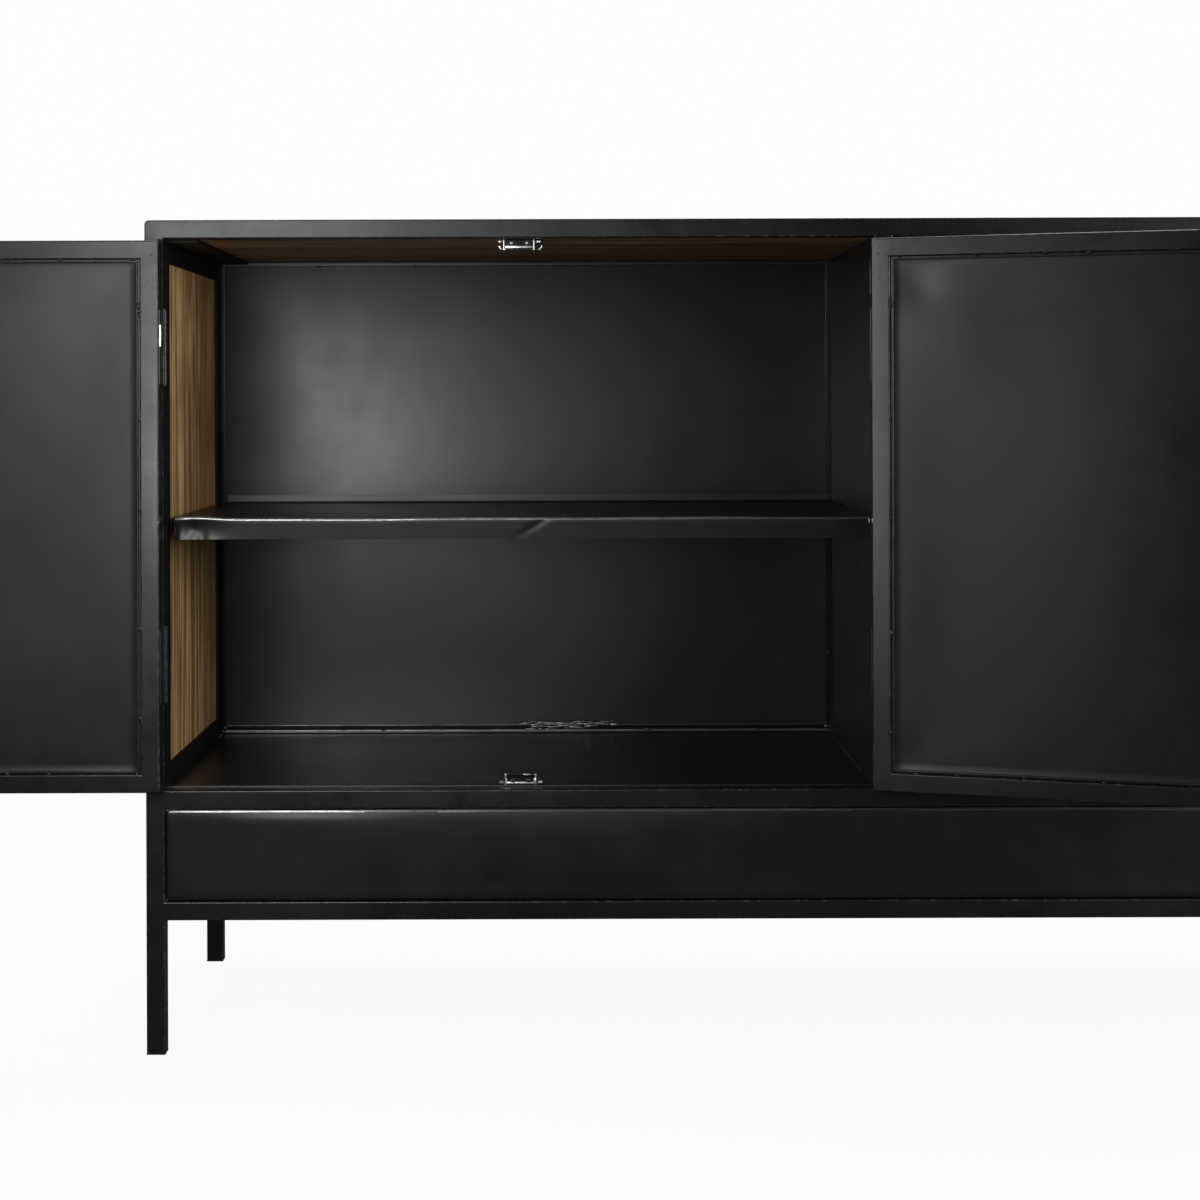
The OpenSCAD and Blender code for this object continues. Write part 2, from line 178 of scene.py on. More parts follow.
def painted_steel(
    name, dark=0.005, light=0.010, gloss=0.34, shine=0.5, worn=0.0, tint=0.05, spread=0.03, dull=None
):
    """Blackened steel under a thin satin lacquer: cloudy, faintly brushed, worn where asked.

    spread is how much its gloss varies. dull(s) gives the share of the surface
    that takes painted shade: a duller, less shiny lacquer standing in for shade.
    """
    s = Shader(name)
    clouds = s.noise(3.2, 5.0, 0.6, distortion=0.4)
    mottle = s.noise(24.0, 6.0, 0.65)
    brushed_up = s.noise(1.0, 3.0, 0.6, s.stretched(420, 420, 5))
    brushed_along = s.noise(1.0, 3.0, 0.6, s.stretched(5, 420, 420))
    brushed = s.math("MAXIMUM", brushed_up, brushed_along)
    grain = s.noise(1400.0, 2.0, 0.5)
    patina = s.math("ADD", s.product(clouds, 0.6), s.product(mottle, 0.4))
    base = s.blend(s.remap(patina, 0.35, 0.65, 0, 1), grey(dark, tint), grey(light, tint))
    if worn:
        chips = s.remap(s.noise(140.0, 5.0, 0.7), 0.50, 0.66, 0, worn)
        base = s.blend(chips, base, grey(0.16))
    cloudy = s.math("ADD", patina, s.product(brushed, 0.15))
    rough = s.remap(cloudy, 0.46, 0.72, gloss - spread, gloss + spread)
    level = shine
    # painted shade: where dull(s) is high the lacquer reflects less and is rougher
    if dull:
        share = dull(s)
        level = s.math("SUBTRACT", shine, s.product(share, shine * 0.85))
        rough = s.math("ADD", rough, s.product(share, 0.12))
    fine = s.bump(grain, 0.02 * MM)
    lines = s.bump(brushed, 0.02 * MM, normal=fine)
    s.set(Base_Color=base, Roughness=rough, Normal=s.bump(mottle, 0.10 * MM, normal=lines))
    s.set(Metallic=0.0, Specular_IOR_Level=level, IOR=1.5)
    return s.material


def painted_edge_shade(s):
    """Share of the back panel's painted shade: most by its welded left, right and top edges."""
    x, _, z = s.xyz()
    waver = s.math("SUBTRACT", s.product(s.noise(6.0, 3.0, 0.5), 0.10), 0.05)
    out = s.math("ADD", s.away(x), waver)
    up = s.math("ADD", z, waver)
    beside = s.remap(out, INNER_X - 0.15, INNER_X, 0, 0.75)
    above = s.remap(up, TOP_RAIL_Z - 0.22, TOP_RAIL_Z, 0, 0.62)
    return s.math("MAXIMUM", beside, above)


def painted_hinge_side_shade(s):
    """Share of a door sheet's painted shade: some at middle height on its hinge side."""
    middle_z = 0.56
    x, _, z = s.xyz()
    near = 0.0
    for pin in PIN.values():
        near = s.math("MAXIMUM", s.remap(s.away(x, pin.x), 0.02, 0.16, 1, 0), near)
    return s.product(near, s.remap(s.away(z, middle_z), 0.05, 0.30, 0.36, 0.08))


def painted_hinge_shade_band(s):
    """1 on the parts of the front posts that face a hinge, which take painted shade; 0 everywhere else."""
    x, y, z = s.xyz()
    out = s.away(x)
    limits = [
        (out, HALF_W - 12.5 * MM, HALF_W - 14 * MM),
        (out, INNER_X - 0.6 * MM, INNER_X - 0.2 * MM),
        (y, -INNER_Y + 1 * MM, -INNER_Y + 0.5 * MM),
        (z, MID_RAIL_HIGH.z - 2 * MM, MID_RAIL_HIGH.z),
        (z, TOP_RAIL_Z, TOP_RAIL_Z - 1 * MM),
    ]
    band = 1.0
    for place, outside, inside in limits:
        band = s.product(band, s.remap(place, outside, inside, 0, 1))
    return band


def bare_steel(name, level=0.30, gloss=0.30):
    """Ground or scraped metal: bright, with fine crossed scratches."""
    s = Shader(name)
    scratch = s.noise(1.0, 4.0, 0.7, s.stretched(60, 900, 900))
    blotch = s.noise(90.0, 5.0, 0.65)
    base = s.blend(blotch, grey(level * 0.35), grey(level))
    s.set(Base_Color=base, Roughness=s.remap(scratch, 0.3, 0.7, gloss - 0.1, gloss + 0.2))
    s.set(Metallic=0.9, Normal=s.bump(s.math("ADD", scratch, blotch), 0.15 * MM))
    return s.material


def rubbed_and_highlit_steel(name, full, least):
    """Folded edges with the lacquer worn through, most where X is full and least where it is least: partly
    wear, partly a painted highlight that fades away from the softbox.
    """
    s = Shader(name)
    wear = s.noise(70.0, 5.0, 0.7)
    fine = s.noise(1.0, 4.0, 0.65, s.stretched(30, 500, 500))
    rubbed = s.math("ADD", s.product(wear, 0.6), s.product(fine, 0.4))
    # painted highlight: the bare metal fades along X as the edge highlight does
    along = s.remap(s.xyz()[0], full, least, 1, 0.12)
    bare = s.product(s.remap(rubbed, 0.36, 0.56, 0.35, 1), along)
    s.set(Base_Color=s.blend(bare, grey(0.02), grey(0.42)), Metallic=s.remap(bare, 0, 1, 0.1, 0.9))
    s.set(Roughness=s.remap(fine, 0.3, 0.7, 0.26, 0.42), Normal=s.bump(fine, 0.05 * MM))
    return s.material


def weld_metal(name):
    """Lacquered weld bead: dark, rippled, with brown and blue heat colours."""
    s = Shader(name)
    heat = s.noise(45.0, 3.0, 0.6)
    base = s.ramp(
        heat,
        [
            (0.30, grey(0.012)),
            (0.48, (0.045, 0.030, 0.018, 1)),
            (0.58, (0.022, 0.026, 0.040, 1)),
            (0.75, grey(0.07)),
        ],
    )
    s.set(Base_Color=base, Metallic=0.55, Roughness=s.remap(heat, 0.3, 0.7, 0.42, 0.24))
    s.set(Normal=s.bump(s.noise(900.0, 4.0, 0.6), 0.12 * MM))
    return s.material


def zinc_plate(name, level=0.9):
    """Bright zinc plating with a faint crystal mottle."""
    s = Shader(name)
    mottle = s.noise(260.0, 4.0, 0.6)
    base = s.blend(mottle, grey(level * 0.7, 0.06), grey(level, 0.01))
    s.set(Base_Color=base, Metallic=0.85, Roughness=s.remap(mottle, 0.3, 0.7, 0.24, 0.42))
    s.set(Normal=s.bump(s.noise(1500.0, 3.0, 0.6), 0.03 * MM))
    return s.material


def ferrite(name):
    s = Shader(name)
    speck = s.noise(1800.0, 4.0, 0.7)
    s.set(Base_Color=s.blend(speck, grey(0.015), grey(0.05)), Roughness=0.62)
    s.set(Normal=s.bump(speck, 0.04 * MM))
    return s.material


def moulded_plastic(name):
    s = Shader(name)
    pebble = s.noise(1300.0, 3.0, 0.6)
    s.set(Base_Color=s.blend(pebble, grey(0.008), grey(0.016)), Normal=s.bump(pebble, 0.05 * MM))
    s.set(Roughness=s.remap(pebble, 0.3, 0.7, 0.42, 0.6))
    return s.material


def timber(name, grain_axis, pale, brown, dark, red):
    """Oiled reclaimed hardwood, its grain along an axis and shifted from board to board."""
    s = Shader(name)
    pale, brown, dark, red = [colour + (1,) for colour in (pale, brown, dark, red)]
    board = s.add("ShaderNodeAttribute", {"attribute_name": "board"}).outputs["Vector"]
    along = [1.0, 1.0, 1.0]
    along[grain_axis] = 0.055

    def across(scale):
        return s.stretched(*[scale * a for a in along], shift=board)

    figure = s.noise(1.0, 3.0, 0.5, across(16), distortion=0.9)
    rings = s.math("SINE", s.product(figure, 46.0))
    fibre = s.noise(1.0, 6.0, 0.7, across(150))
    pores = s.noise(1.0, 3.0, 0.6, across(520))
    hair = s.noise(1.0, 4.0, 0.7, across(330))
    stain = s.noise(5.0, 4.0, 0.6, s.stretched(1, 1, 1, shift=board))
    tone = s.product(rings, 0.10)
    for part, share in ((fibre, 0.45), (hair, 0.25), (figure, 0.30)):
        tone = s.math("ADD", tone, s.product(part, share))
    base = s.ramp(tone, [(0.38, dark), (0.49, brown), (0.62, pale)])
    shade = s.add("ShaderNodeAttribute", {"attribute_name": "board_shade"}).outputs["Fac"]
    base = s.blend(s.product(shade, 0.55), base, red)
    base = s.blend(s.remap(stain, 0.50, 0.68, 0, 0.70), base, red)
    pits = s.remap(pores, 0.30, 0.42, 1, 0)
    base = s.blend(s.product(pits, 0.6), base, tuple(c * 0.35 for c in dark[:3]) + (1,))
    height = s.math("SUBTRACT", s.product(fibre, 0.5), s.product(pits, 0.5))
    s.set(Base_Color=base, Roughness=s.remap(fibre, 0.3, 0.7, 0.42, 0.64))
    s.set(Normal=s.bump(height, 0.35 * MM), Specular_IOR_Level=0.4)
    return s.material


STEEL = painted_steel("frame_steel", spread=0.08)
STEEL_EDGE = painted_steel("frame_steel_edge", 0.007, 0.015, 0.30, worn=0.35)
# painted shade: the posts' faces beside the hinges reflect less, standing in for the doors' shadow
POST_STEEL = painted_steel("post_steel", spread=0.08, dull=painted_hinge_shade_band)
POST_EDGE = painted_steel("post_steel_edge", 0.007, 0.015, 0.30, worn=0.35, dull=painted_hinge_shade_band)
# painted shade: a darker, duller copy of the steel for the strips under the top
SHADED_STRIP_STEEL = painted_steel("shaded_strip_steel", 0.004, 0.007, 0.55, shine=0.15)
SHEET_STEEL = painted_steel("sheet_steel", gloss=0.37, spread=0.04)
# painted shade: each door sheet reflects less at middle height on its hinge side
DOOR_SHEET_STEEL = painted_steel("door_sheet_steel", gloss=0.37, spread=0.04, dull=painted_hinge_side_shade)
INNER_STEEL = painted_steel("inner_sheet_steel", 0.005, 0.011, 0.34, shine=0.58)
# painted shade: the back panel reflects less by its left, right and top edges
PANEL_STEEL = painted_steel("back_panel_steel", 0.005, 0.011, 0.32, shine=0.58, dull=painted_edge_shade)
HINGE_STEEL = painted_steel("hinge_steel", 0.005, 0.012, 0.32, shine=0.35, worn=0.1, tint=0.8)
# worn lacquer and painted highlight: a lighter copy of the steel for the crest of the door sheets' hem
HIGHLIT_HEM_STEEL = painted_steel("worn_highlit_hem_steel", 0.012, 0.026, 0.30, worn=0.2)
WELD = weld_metal("weld")
BARE = bare_steel("bare_steel")
# worn edges and painted highlight: bright bare metal that fades along X, brightest nearest the softbox
RUBBED_HIGHLIT_LIP = rubbed_and_highlit_steel("rubbed_highlit_lip", -0.50, -0.10)
RUBBED_HIGHLIT_FASCIA = rubbed_and_highlit_steel("rubbed_highlit_fascia", -0.56, -0.36)
RUBBED_HIGHLIT_BACK = rubbed_and_highlit_steel("rubbed_highlit_back", -0.60, 0.10)
ZINC = zinc_plate("zinc")
# painted shade: a dark copy of the zinc for the catches' faces that stand in shade
SHADED_ZINC = zinc_plate("shaded_zinc", 0.03)
MAGNET = ferrite("magnet")
PLASTIC = moulded_plastic("black_plastic")
WOOD_UP = timber(
    "timber_upright", 2, (0.80, 0.54, 0.235), (0.53, 0.33, 0.128), (0.20, 0.11, 0.038), (0.27, 0.125, 0.048)
)
WOOD_EDGE = timber(
    "timber_worn_edge", 2, (0.85, 0.64, 0.34), (0.70, 0.48, 0.23), (0.33, 0.20, 0.085), (0.45, 0.25, 0.11)
)
WOOD_ALONG = timber(
    "timber_along", 0, (0.43, 0.27, 0.13), (0.260, 0.152, 0.072), (0.110, 0.064, 0.031), (0.170, 0.084, 0.040)
)


# ---- mesh tools

def boxes_to_bmesh(boxes):
    """One closed bmesh around a set of touching boxes, each given by two opposite corners."""
    cuts = [sorted({round(corner[a], 6) for box in boxes for corner in box}) for a in range(3)]

    def filled(cell):
        if any(n < 0 or n >= len(c) - 1 for n, c in zip(cell, cuts)):
            return False
        middle = [(c[n] + c[n + 1]) / 2 for n, c in zip(cell, cuts)]
        return any(all(low[a] < middle[a] < high[a] for a in range(3)) for low, high in boxes)

    bm = bmesh.new()
    verts = {}

    def vert(index):
        if index not in verts:
            verts[index] = bm.verts.new([c[n] for n, c in zip(index, cuts)])
        return verts[index]

    for cell in itertools.product(*(range(len(c) - 1) for c in cuts)):
        if not filled(cell):
            continue
        for axis, side in itertools.product(range(3), (0, 1)):
            beside = list(cell)
            beside[axis] += 2 * side - 1
            if filled(beside):
                continue
            corners = []
            for b, c in ((0, 0), (1, 0), (1, 1), (0, 1)):
                index = list(cell)
                index[axis] += side
                index[(axis + 1) % 3] += b
                index[(axis + 2) % 3] += c
                corners.append(vert(tuple(index)))
            bm.faces.new(corners if side else corners[::-1])
    bmesh.ops.dissolve_limit(bm, angle_limit=radians(1), verts=bm.verts[:], edges=bm.edges[:])
    return bm


def round_edges(bm, radius, segments=3, keep_sharp=lambda edge: False):
    """Rounds every sharp edge. The rounded faces take the piece's second material."""
    edges = [
        e for e in bm.edges
        if len(e.link_faces) == 2 and e.calc_face_angle() > SHARP and not keep_sharp(e)
    ]
    bmesh.ops.bevel(
        bm, geom=edges, offset=radius, offset_type="OFFSET", segments=segments,
        profile=0.5, affect="EDGES", clamp_overlap=True, material=1,
    )


def join(bm, other):
    """Moves the faces of another bmesh into this one."""
    spare = bpy.data.meshes.new("spare")
    other.to_mesh(spare)
    other.free()
    bm.from_mesh(spare)
    bpy.data.meshes.remove(spare)


def rub(bm, worn):
    """Gives the faces whose middles pass a test the piece's second material."""
    for face in bm.faces:
        if worn(face.calc_center_median()):
            face.material_index = 1


def add_object(name, data):
    made = bpy.data.objects.new(name, data)
    bpy.context.scene.collection.objects.link(made)
    return made


def add_piece(
    name, bm, materials, replaces=(), body="cabinet", flat_faces=False
):
    """Makes a smooth-shaded piece of a bmesh, and rides it on its body."""
    mesh = bpy.data.meshes.new(name)
    bm.normal_update()
    bm.to_mesh(mesh)
    bm.free()
    mesh.shade_smooth()
    mesh.set_sharp_from_angle(angle=SHARP)
    for material in materials:
        mesh.materials.append(material)
    made = add_object(name, mesh)
    if flat_faces:
        weigh_normals(made)
    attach(made, body)
    if replaces:
        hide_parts(*replaces)
    return made


def weigh_normals(piece):
    """Keeps large faces flat in shading beside their rounded edges."""
    modifier = piece.modifiers.new("flat_faces", "WEIGHTED_NORMAL")
    modifier.keep_sharp = True


def thicken(piece, thickness):
    """Gives a sheet its thickness, on the side away from its face, behind crisp edges."""
    mesh = piece.data
    sides = collections.Counter(key for polygon in mesh.polygons for key in polygon.edge_keys)
    for edge in mesh.edges:
        if sides[edge.key] == 1:
            edge.use_edge_sharp = True
    modifier = piece.modifiers.new("thickness", "SOLIDIFY")
    modifier.thickness = thickness
    modifier.offset = -1.0


def dress_node(name, material, edge_material, radius):
    """Gives a CAD node its material and, through modifiers, softly rounded edges."""
    node = frame["nodes"][name]
    node.data.materials.clear()
    node.data.materials.append(material)
    node.data.materials.append(edge_material)
    node.data.shade_smooth()
    weld = node.modifiers.new("merge", "WELD")
    weld.merge_threshold = 0.001 * MM
    bevel = node.modifiers.new("round_edges", "BEVEL")
    bevel.width = radius
    bevel.segments = 2
    bevel.limit_method = "ANGLE"
    bevel.angle_limit = SHARP
    bevel.material = 1
    weigh_normals(node)


# ---- sheets

def smooth(value):
    """Eases a value from 0 to 1."""
    value = min(1.0, max(0.0, value))
    return value * value * (3 - 2 * value)


def bulges(seed, span, depth, dents=()):
    """Height of a sheet that has bulged between its welds, with (u, v, radius, depth) dents."""
    def height(u, v, width, length):
        edge = min(u, width - u, v, length - v)
        rise = depth * noise.noise(Vector((u / span, v / span, seed)))
        rise *= smooth(edge / (0.12 * min(width, length) + 20 * MM))
        for at_u, at_v, radius, deep in dents:
            far = ((u - at_u) ** 2 + (v - at_v) ** 2) / radius**2
            rise -= deep * exp(-far)
        return rise
    return height


def sheet_bmesh(width, length, border, cell, height):
    """A rectangular sheet in u and v, with its face towards +w.

    border lists (inset, w) from the outer edge in to the flat part. height gives
    the flat part's relief, which the border follows less and less towards its foot.
    """
    inset = border[-1][0]
    nu = max(2, round((width - 2 * inset) / cell))
    nv = max(2, round((length - 2 * inset) / cell))
    bm = bmesh.new()
    base_w = border[-1][1]

    def point(i, j, inset, w):
        return (inset + i / nu * (width - 2 * inset), inset + j / nv * (length - 2 * inset), w)

    grid = {}
    for i, j in itertools.product(range(nu + 1), range(nv + 1)):
        u, v, w = point(i, j, inset, base_w)
        grid[i, j] = bm.verts.new((u, v, w + height(u, v, width, length)))
    for i, j in itertools.product(range(nu), range(nv)):
        bm.faces.new([grid[i, j], grid[i + 1, j], grid[i + 1, j + 1], grid[i, j + 1]])
    around = [(i, 0) for i in range(nu)] + [(nu, j) for j in range(nv)]
    around += [(i, nv) for i in range(nu, 0, -1)] + [(0, j) for j in range(nv, 0, -1)]
    inner = [grid[at] for at in around]
    rises = [vert.co.z - base_w for vert in inner]
    foot = border[0][1]
    for ring_inset, w in reversed(border[:-1]):
        share = min(1.0, (w - foot) / (base_w - foot))
        outer = [bm.verts.new(point(i, j, ring_inset, w + share * r)) for (i, j), r in zip(around, rises)]
        for n in range(len(around)):
            m = (n + 1) % len(around)
            bm.faces.new([outer[n], outer[m], inner[m], inner[n]])
        inner = outer
    return bm


def arc(centre, radius, start, end, steps=4):
    """Points of an arc, with its angles in degrees."""
    angles = [radians(start + (end - start) * n / steps) for n in range(steps + 1)]
    return [(centre[0] + radius * cos(a), centre[1] + radius * sin(a)) for a in angles]


def folded_border(edge, radius):
    """Border of a sheet whose edges fold back by edge."""
    return [(0, -edge), (0, -edge / 2)] + arc((radius, -radius), radius, 180, 90)


def move(bm, place):
    """Moves a bmesh by a matrix, with its faces kept outwards if the matrix mirrors."""
    bm.transform(place)
    if place.determinant() < 0:
        bmesh.ops.reverse_faces(bm, faces=bm.faces[:])


def facing(origin, u_axis, v_axis):
    """Matrix that puts u and v along two axes, and w along their cross product."""
    u, v = Vector(u_axis), Vector(v_axis)
    w = u.cross(v)
    matrix = Matrix.Identity(4)
    for column, vector in enumerate((u, v, w, Vector(origin))):
        for row in range(3):
            matrix[row][column] = vector[row]
    return matrix


def swept_sheet(profile, start, end, cell, bend, worn=()):
    """A sheet whose (y, z) profile runs along X; bend(x, n, y, z) gives each point's place.

    Strips of faces whose numbers are in worn take the second material.
    """
    count = round((end - start) / cell)
    bm = bmesh.new()
    rows = []
    for i in range(count + 1):
        x = start + (end - start) * i / count
        rows.append([bm.verts.new(bend(x, n, y, z)) for n, (y, z) in enumerate(profile)])
    for one, two in itertools.pairwise(rows):
        for n in range(len(profile) - 1):
            face = bm.faces.new([one[n], two[n], two[n + 1], one[n + 1]])
            face.material_index = 1 if n in worn else 0
    return bm


# ---- welds

def tube(bm, points, radii, sides=10, up=(0.62, 0.31, 0.52)):
    """A closed tube along points, with a radius at each; up is any way that the path never takes."""
    points = [Vector(p) for p in points]
    up = Vector(up)
    rings = []
    for n, (centre, radius) in enumerate(zip(points, radii)):
        along = points[min(n + 1, len(points) - 1)] - points[max(n - 1, 0)]
        side = along.cross(up).normalized()
        top = side.cross(along).normalized()
        ring = []
        for k in range(sides):
            a = 2 * pi * k / sides
            ring.append(bm.verts.new(centre + (side * cos(a) + top * sin(a)) * radius))
        rings.append(ring)
    for one, two in itertools.pairwise(rings):
        for k in range(sides):
            m = (k + 1) % sides
            bm.faces.new([one[k], two[k], two[m], one[m]])
    bm.faces.new(rings[0])
    bm.faces.new(rings[-1][::-1])


def turned(bm, profile, origin, axis, sides=24):
    """A turned solid: profile lists (radius, distance along the axis)."""
    points = [Vector(origin) + Vector(axis) * along for radius, along in profile]
    tube(bm, points, [radius for radius, along in profile], sides)


def bead(bm, start, end, radius, rng, pitch=3.2 * MM):
    """A weld bead from start to end: a rod that swells once in each pitch."""
    start, end = Vector(start), Vector(end)
    length = (end - start).length
    steps = max(4, round(length / (pitch / 4)))
    points, radii = [], []
    for n in range(steps + 1):
        share = n / steps
        swell = 0.82 + 0.18 * abs(sin(pi * share * length / pitch))
        swell *= 0.35 + 0.65 * smooth(min(share, 1 - share) * steps / 3)
        points.append(start.lerp(end, share) + Vector([rng.uniform(-0.1, 0.1) * radius for _ in range(3)]))
        radii.append(radius * swell * rng.uniform(0.92, 1.08))
    tube(bm, points, radii)


def tack(bm, centre, size, rng):
    """A small uneven blob of weld, with its half sizes in millimetres."""
    made = bmesh.ops.create_icosphere(bm, subdivisions=2, radius=1.0)
    stretch = Vector([s * MM * rng.uniform(0.8, 1.2) for s in size])
    shift = rng.uniform(0, 90)
    for vert in made["verts"]:
        lump = 1 + 0.22 * noise.noise(vert.co * 1.7 + Vector((shift, 0, 0)))
        vert.co = Vector(centre) + Vector([c * s for c, s in zip(vert.co, stretch)]) * lump


# ---- frame

def add_frame():
    """The welded tube frame, its joints ground flush, as one piece."""
    corners = [f"post_{a}_{b}" for a in ("front", "back") for b in ("left", "right")]
    rails = [f"{a}_rail_{b}" for a in ("top", "mid", "bottom") for b in ("front", "back", "left", "right")]
    nodes = corners + rails + ["center_post"]
    bm = boxes_to_bmesh([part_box(n) for n in nodes])
    foot = POST_LOW.z + 0.1 * MM

    def top_corner(edge):
        return all(v.co.z > BODY_TOP - 0.1 * MM and abs(v.co.x) > HALF_W - 0.1 * MM for v in edge.verts)

    round_edges(bm, CORNER_RADIUS, 4, keep_sharp=lambda e: not top_corner(e))
    round_edges(bm, TUBE_RADIUS, keep_sharp=lambda e: all(v.co.z < foot for v in e.verts))
    add_piece("welded_frame", bm, [POST_STEEL, POST_EDGE], nodes, flat_faces=True)


def add_frame_welds():
    """Beads and spatter left in the frame's corners."""
    rng = random.Random(4)
    bm = bmesh.new()
    proud_y = FRONT_Y + 2.2 * MM
    for x in (-1, 1):
        tack(bm, (x * (INNER_X - 2.5 * MM), proud_y, MID_RAIL_LOW.z - 2 * MM), (2.4, 1.4, 2.2), rng)
        tack(bm, (x * (INNER_X - 1.5 * MM), proud_y, BOTTOM_RAIL_HIGH.z + 1.5 * MM), (2, 1.2, 1.8), rng)
    floor_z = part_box("floor_left")[1].z
    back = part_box("back_stops")[0].y
    front = -INNER_Y
    for x in (-1, 1):
        wall = x * INNER_X
        inward = -x
        low_z = floor_z + 0.4 * MM
        weld_z = floor_z + 1 * MM
        bead(bm, (wall, front + 1 * MM, low_z), (wall, front + 22 * MM, low_z), 1.5 * MM, rng)
        tack(bm, (wall + inward * 1.2 * MM, front + 3 * MM, floor_z + 1.2 * MM), (2.2, 2.6, 1.9), rng)
        tack(bm, (wall + inward * 1.5 * MM, -0.5 * INNER_Y, weld_z), (2.4, 5, 1.6), rng)
        tack(bm, (wall + inward * 1.5 * MM, -0.42 * INNER_Y, weld_z), (2, 3, 1.8), rng)
        side = wall + inward * 1 * MM
        bead(bm, (side, back - 34 * MM, weld_z), (side, back - 3 * MM, weld_z), 2.6 * MM, rng)
        tack(bm, (wall + inward * 3 * MM, back - 1.5 * MM, floor_z + 7 * MM), (3.4, 2.4, 4.4), rng)
    add_piece("frame_welds", bm, [WELD])


# ---- sheets of the cabinet

def add_flat_sheet(name, node, material, origin, u_axis, size, thickness, relief):
    """A bulged sheet that replaces a flat CAD sheet, with its edges hardly rounded."""
    bm = sheet_bmesh(*size, [(0, -0.4 * MM), (0.3 * MM, 0)], 12 * MM, relief)
    bm.transform(facing(origin, u_axis, (0, 0, 1)))
    made = add_piece(name, bm, [material], [node])
    thicken(made, thickness)


def add_back_panel():
    low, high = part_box("back_panel")
    size = (high.x - low.x, high.z - low.z)
    relief = bulges(3.7, 0.34, 1.2 * MM, dents=[(0.22, 0.26, 0.19, -3.0 * MM)])
    add_flat_sheet("oil_canned_back_panel", "back_panel", PANEL_STEEL, low, (1, 0, 0), size, SHEET, relief)


def add_divider_skins():
    for side, node in ((-1, "divider_skin_left"), (1, "divider_skin_right")):
        low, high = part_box(node)
        size = (high.y - low.y, high.z - low.z)
        origin = (low.x, high.y, low.z) if side < 0 else (high.x, low.y, low.z)
        relief = bulges(8.1 + side, 0.22, 1.2 * MM)
        name = node.replace("divider", "bowed_divider")
        add_flat_sheet(name, node, INNER_STEEL, origin, (0, side, 0), size, SHEET * 0.9, relief)


def add_floors():
    """Floor trays: front edge folded down, back edge turned up against the stop."""
    radius = 2 * MM
    front_radius = 0.4 * MM
    turn_up = 4 * MM
    for node in ("floor_left", "floor_right"):
        low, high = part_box(node)
        relief = bulges(5.3 if node == "floor_left" else 6.4, 0.3, 1.2 * MM)
        depth = high.y - low.y
        profile = [(low.y, low.z), (low.y, (low.z + high.z) / 2)]
        profile += arc((low.y + front_radius, high.z - front_radius), front_radius, 180, 90)
        steps = 24
        flat_start, flat_end = low.y + front_radius, high.y - radius
        profile += [(flat_start + (flat_end - flat_start) * n / steps, high.z) for n in range(1, steps)]
        profile += arc((flat_end, high.z + radius), radius, -90, 0)
        profile += [(high.y, high.z + 0.7 * turn_up), (high.y, high.z + turn_up)]

        def bend(x, n, y, z, low=low, high=high, relief=relief, depth=depth):
            rise = relief(x - low.x, y - low.y, high.x - low.x, depth) if z == high.z else 0.0
            return (x, y, z + min(rise, 0.6 * MM))

        bm = swept_sheet(profile, low.x, high.x, 12 * MM, bend, worn={len(profile) - 2})
        name = node.replace("floor", "folded_floor")
        made = add_piece(name, bm, [INNER_STEEL, RUBBED_HIGHLIT_BACK], [node])
        thicken(made, SHEET)


def add_back_stops():
    """Welded bars around the back; the lowest leans back from a rubbed upper edge, its bright metal partly a
    painted highlight.
    """
    low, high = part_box("back_stops")
    stop = high.y - low.y
    lowest = 2 * stop
    skin_x = -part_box("divider_skin_left")[0].x
    boxes = []
    for x0, x1 in ((low.x, -skin_x), (skin_x, high.x)):
        boxes.append((Vector((x0, low.y, low.z)), Vector((x0 + stop, high.y, high.z))))
        boxes.append((Vector((x1 - stop, low.y, low.z)), Vector((x1, high.y, high.z))))
        boxes.append((Vector((x0, low.y, low.z)), Vector((x1, high.y, low.z + lowest))))
        boxes.append((Vector((x0, low.y, high.z - stop)), Vector((x1, high.y, high.z))))
    bm = boxes_to_bmesh(boxes)
    for vert in bm.verts:
        if vert.co.z < low.z + 1 * MM and vert.co.y < low.y + 1 * MM:
            vert.co.y += 3.6 * MM
    round_edges(bm, 0.9 * MM, 2)
    bm.normal_update()
    for face in bm.faces:
        if abs(face.calc_center_median().z - low.z - lowest) < 1 * MM and face.normal.y < -0.2:
            face.material_index = 2
    materials = [SHEET_STEEL, STEEL_EDGE, RUBBED_HIGHLIT_BACK]
    add_piece("leaning_back_stops", bm, materials, ["back_stops"], flat_faces=True)


def fascia_plate(width, length, seed, rolled=(), dents=()):
    """A tray's face: its rolled top edge wavers, rounder where rolled lists (u, reach, depth)."""
    radius = 3.0 * MM
    fold = 14 * MM
    band = 13 * MM
    relief = bulges(seed, 0.24, 1.8 * MM, dents)

    def height(u, v, width, length):
        rise = relief(u, v, width, length)
        near_top = max(0.0, (v - length + band) / band)
        for at, reach, depth in rolled:
            rise -= depth * near_top**2 * exp(-(((u - at) / reach) ** 2))
        return rise

    bm = sheet_bmesh(width, length, folded_border(fold, radius), 5 * MM, height)
    for vert in bm.verts:
        near_top = smooth((vert.co.y - length + band) / band)
        wave = noise.noise(Vector((vert.co.x / 0.16, seed, 0)))
        vert.co.y -= near_top * (0.7 * MM + 0.9 * MM * wave)
    rub(bm, lambda place: place.y > length - 3.4 * MM and -2.6 * MM < place.z + 0.3 * MM < 0.5 * MM)
    return bm


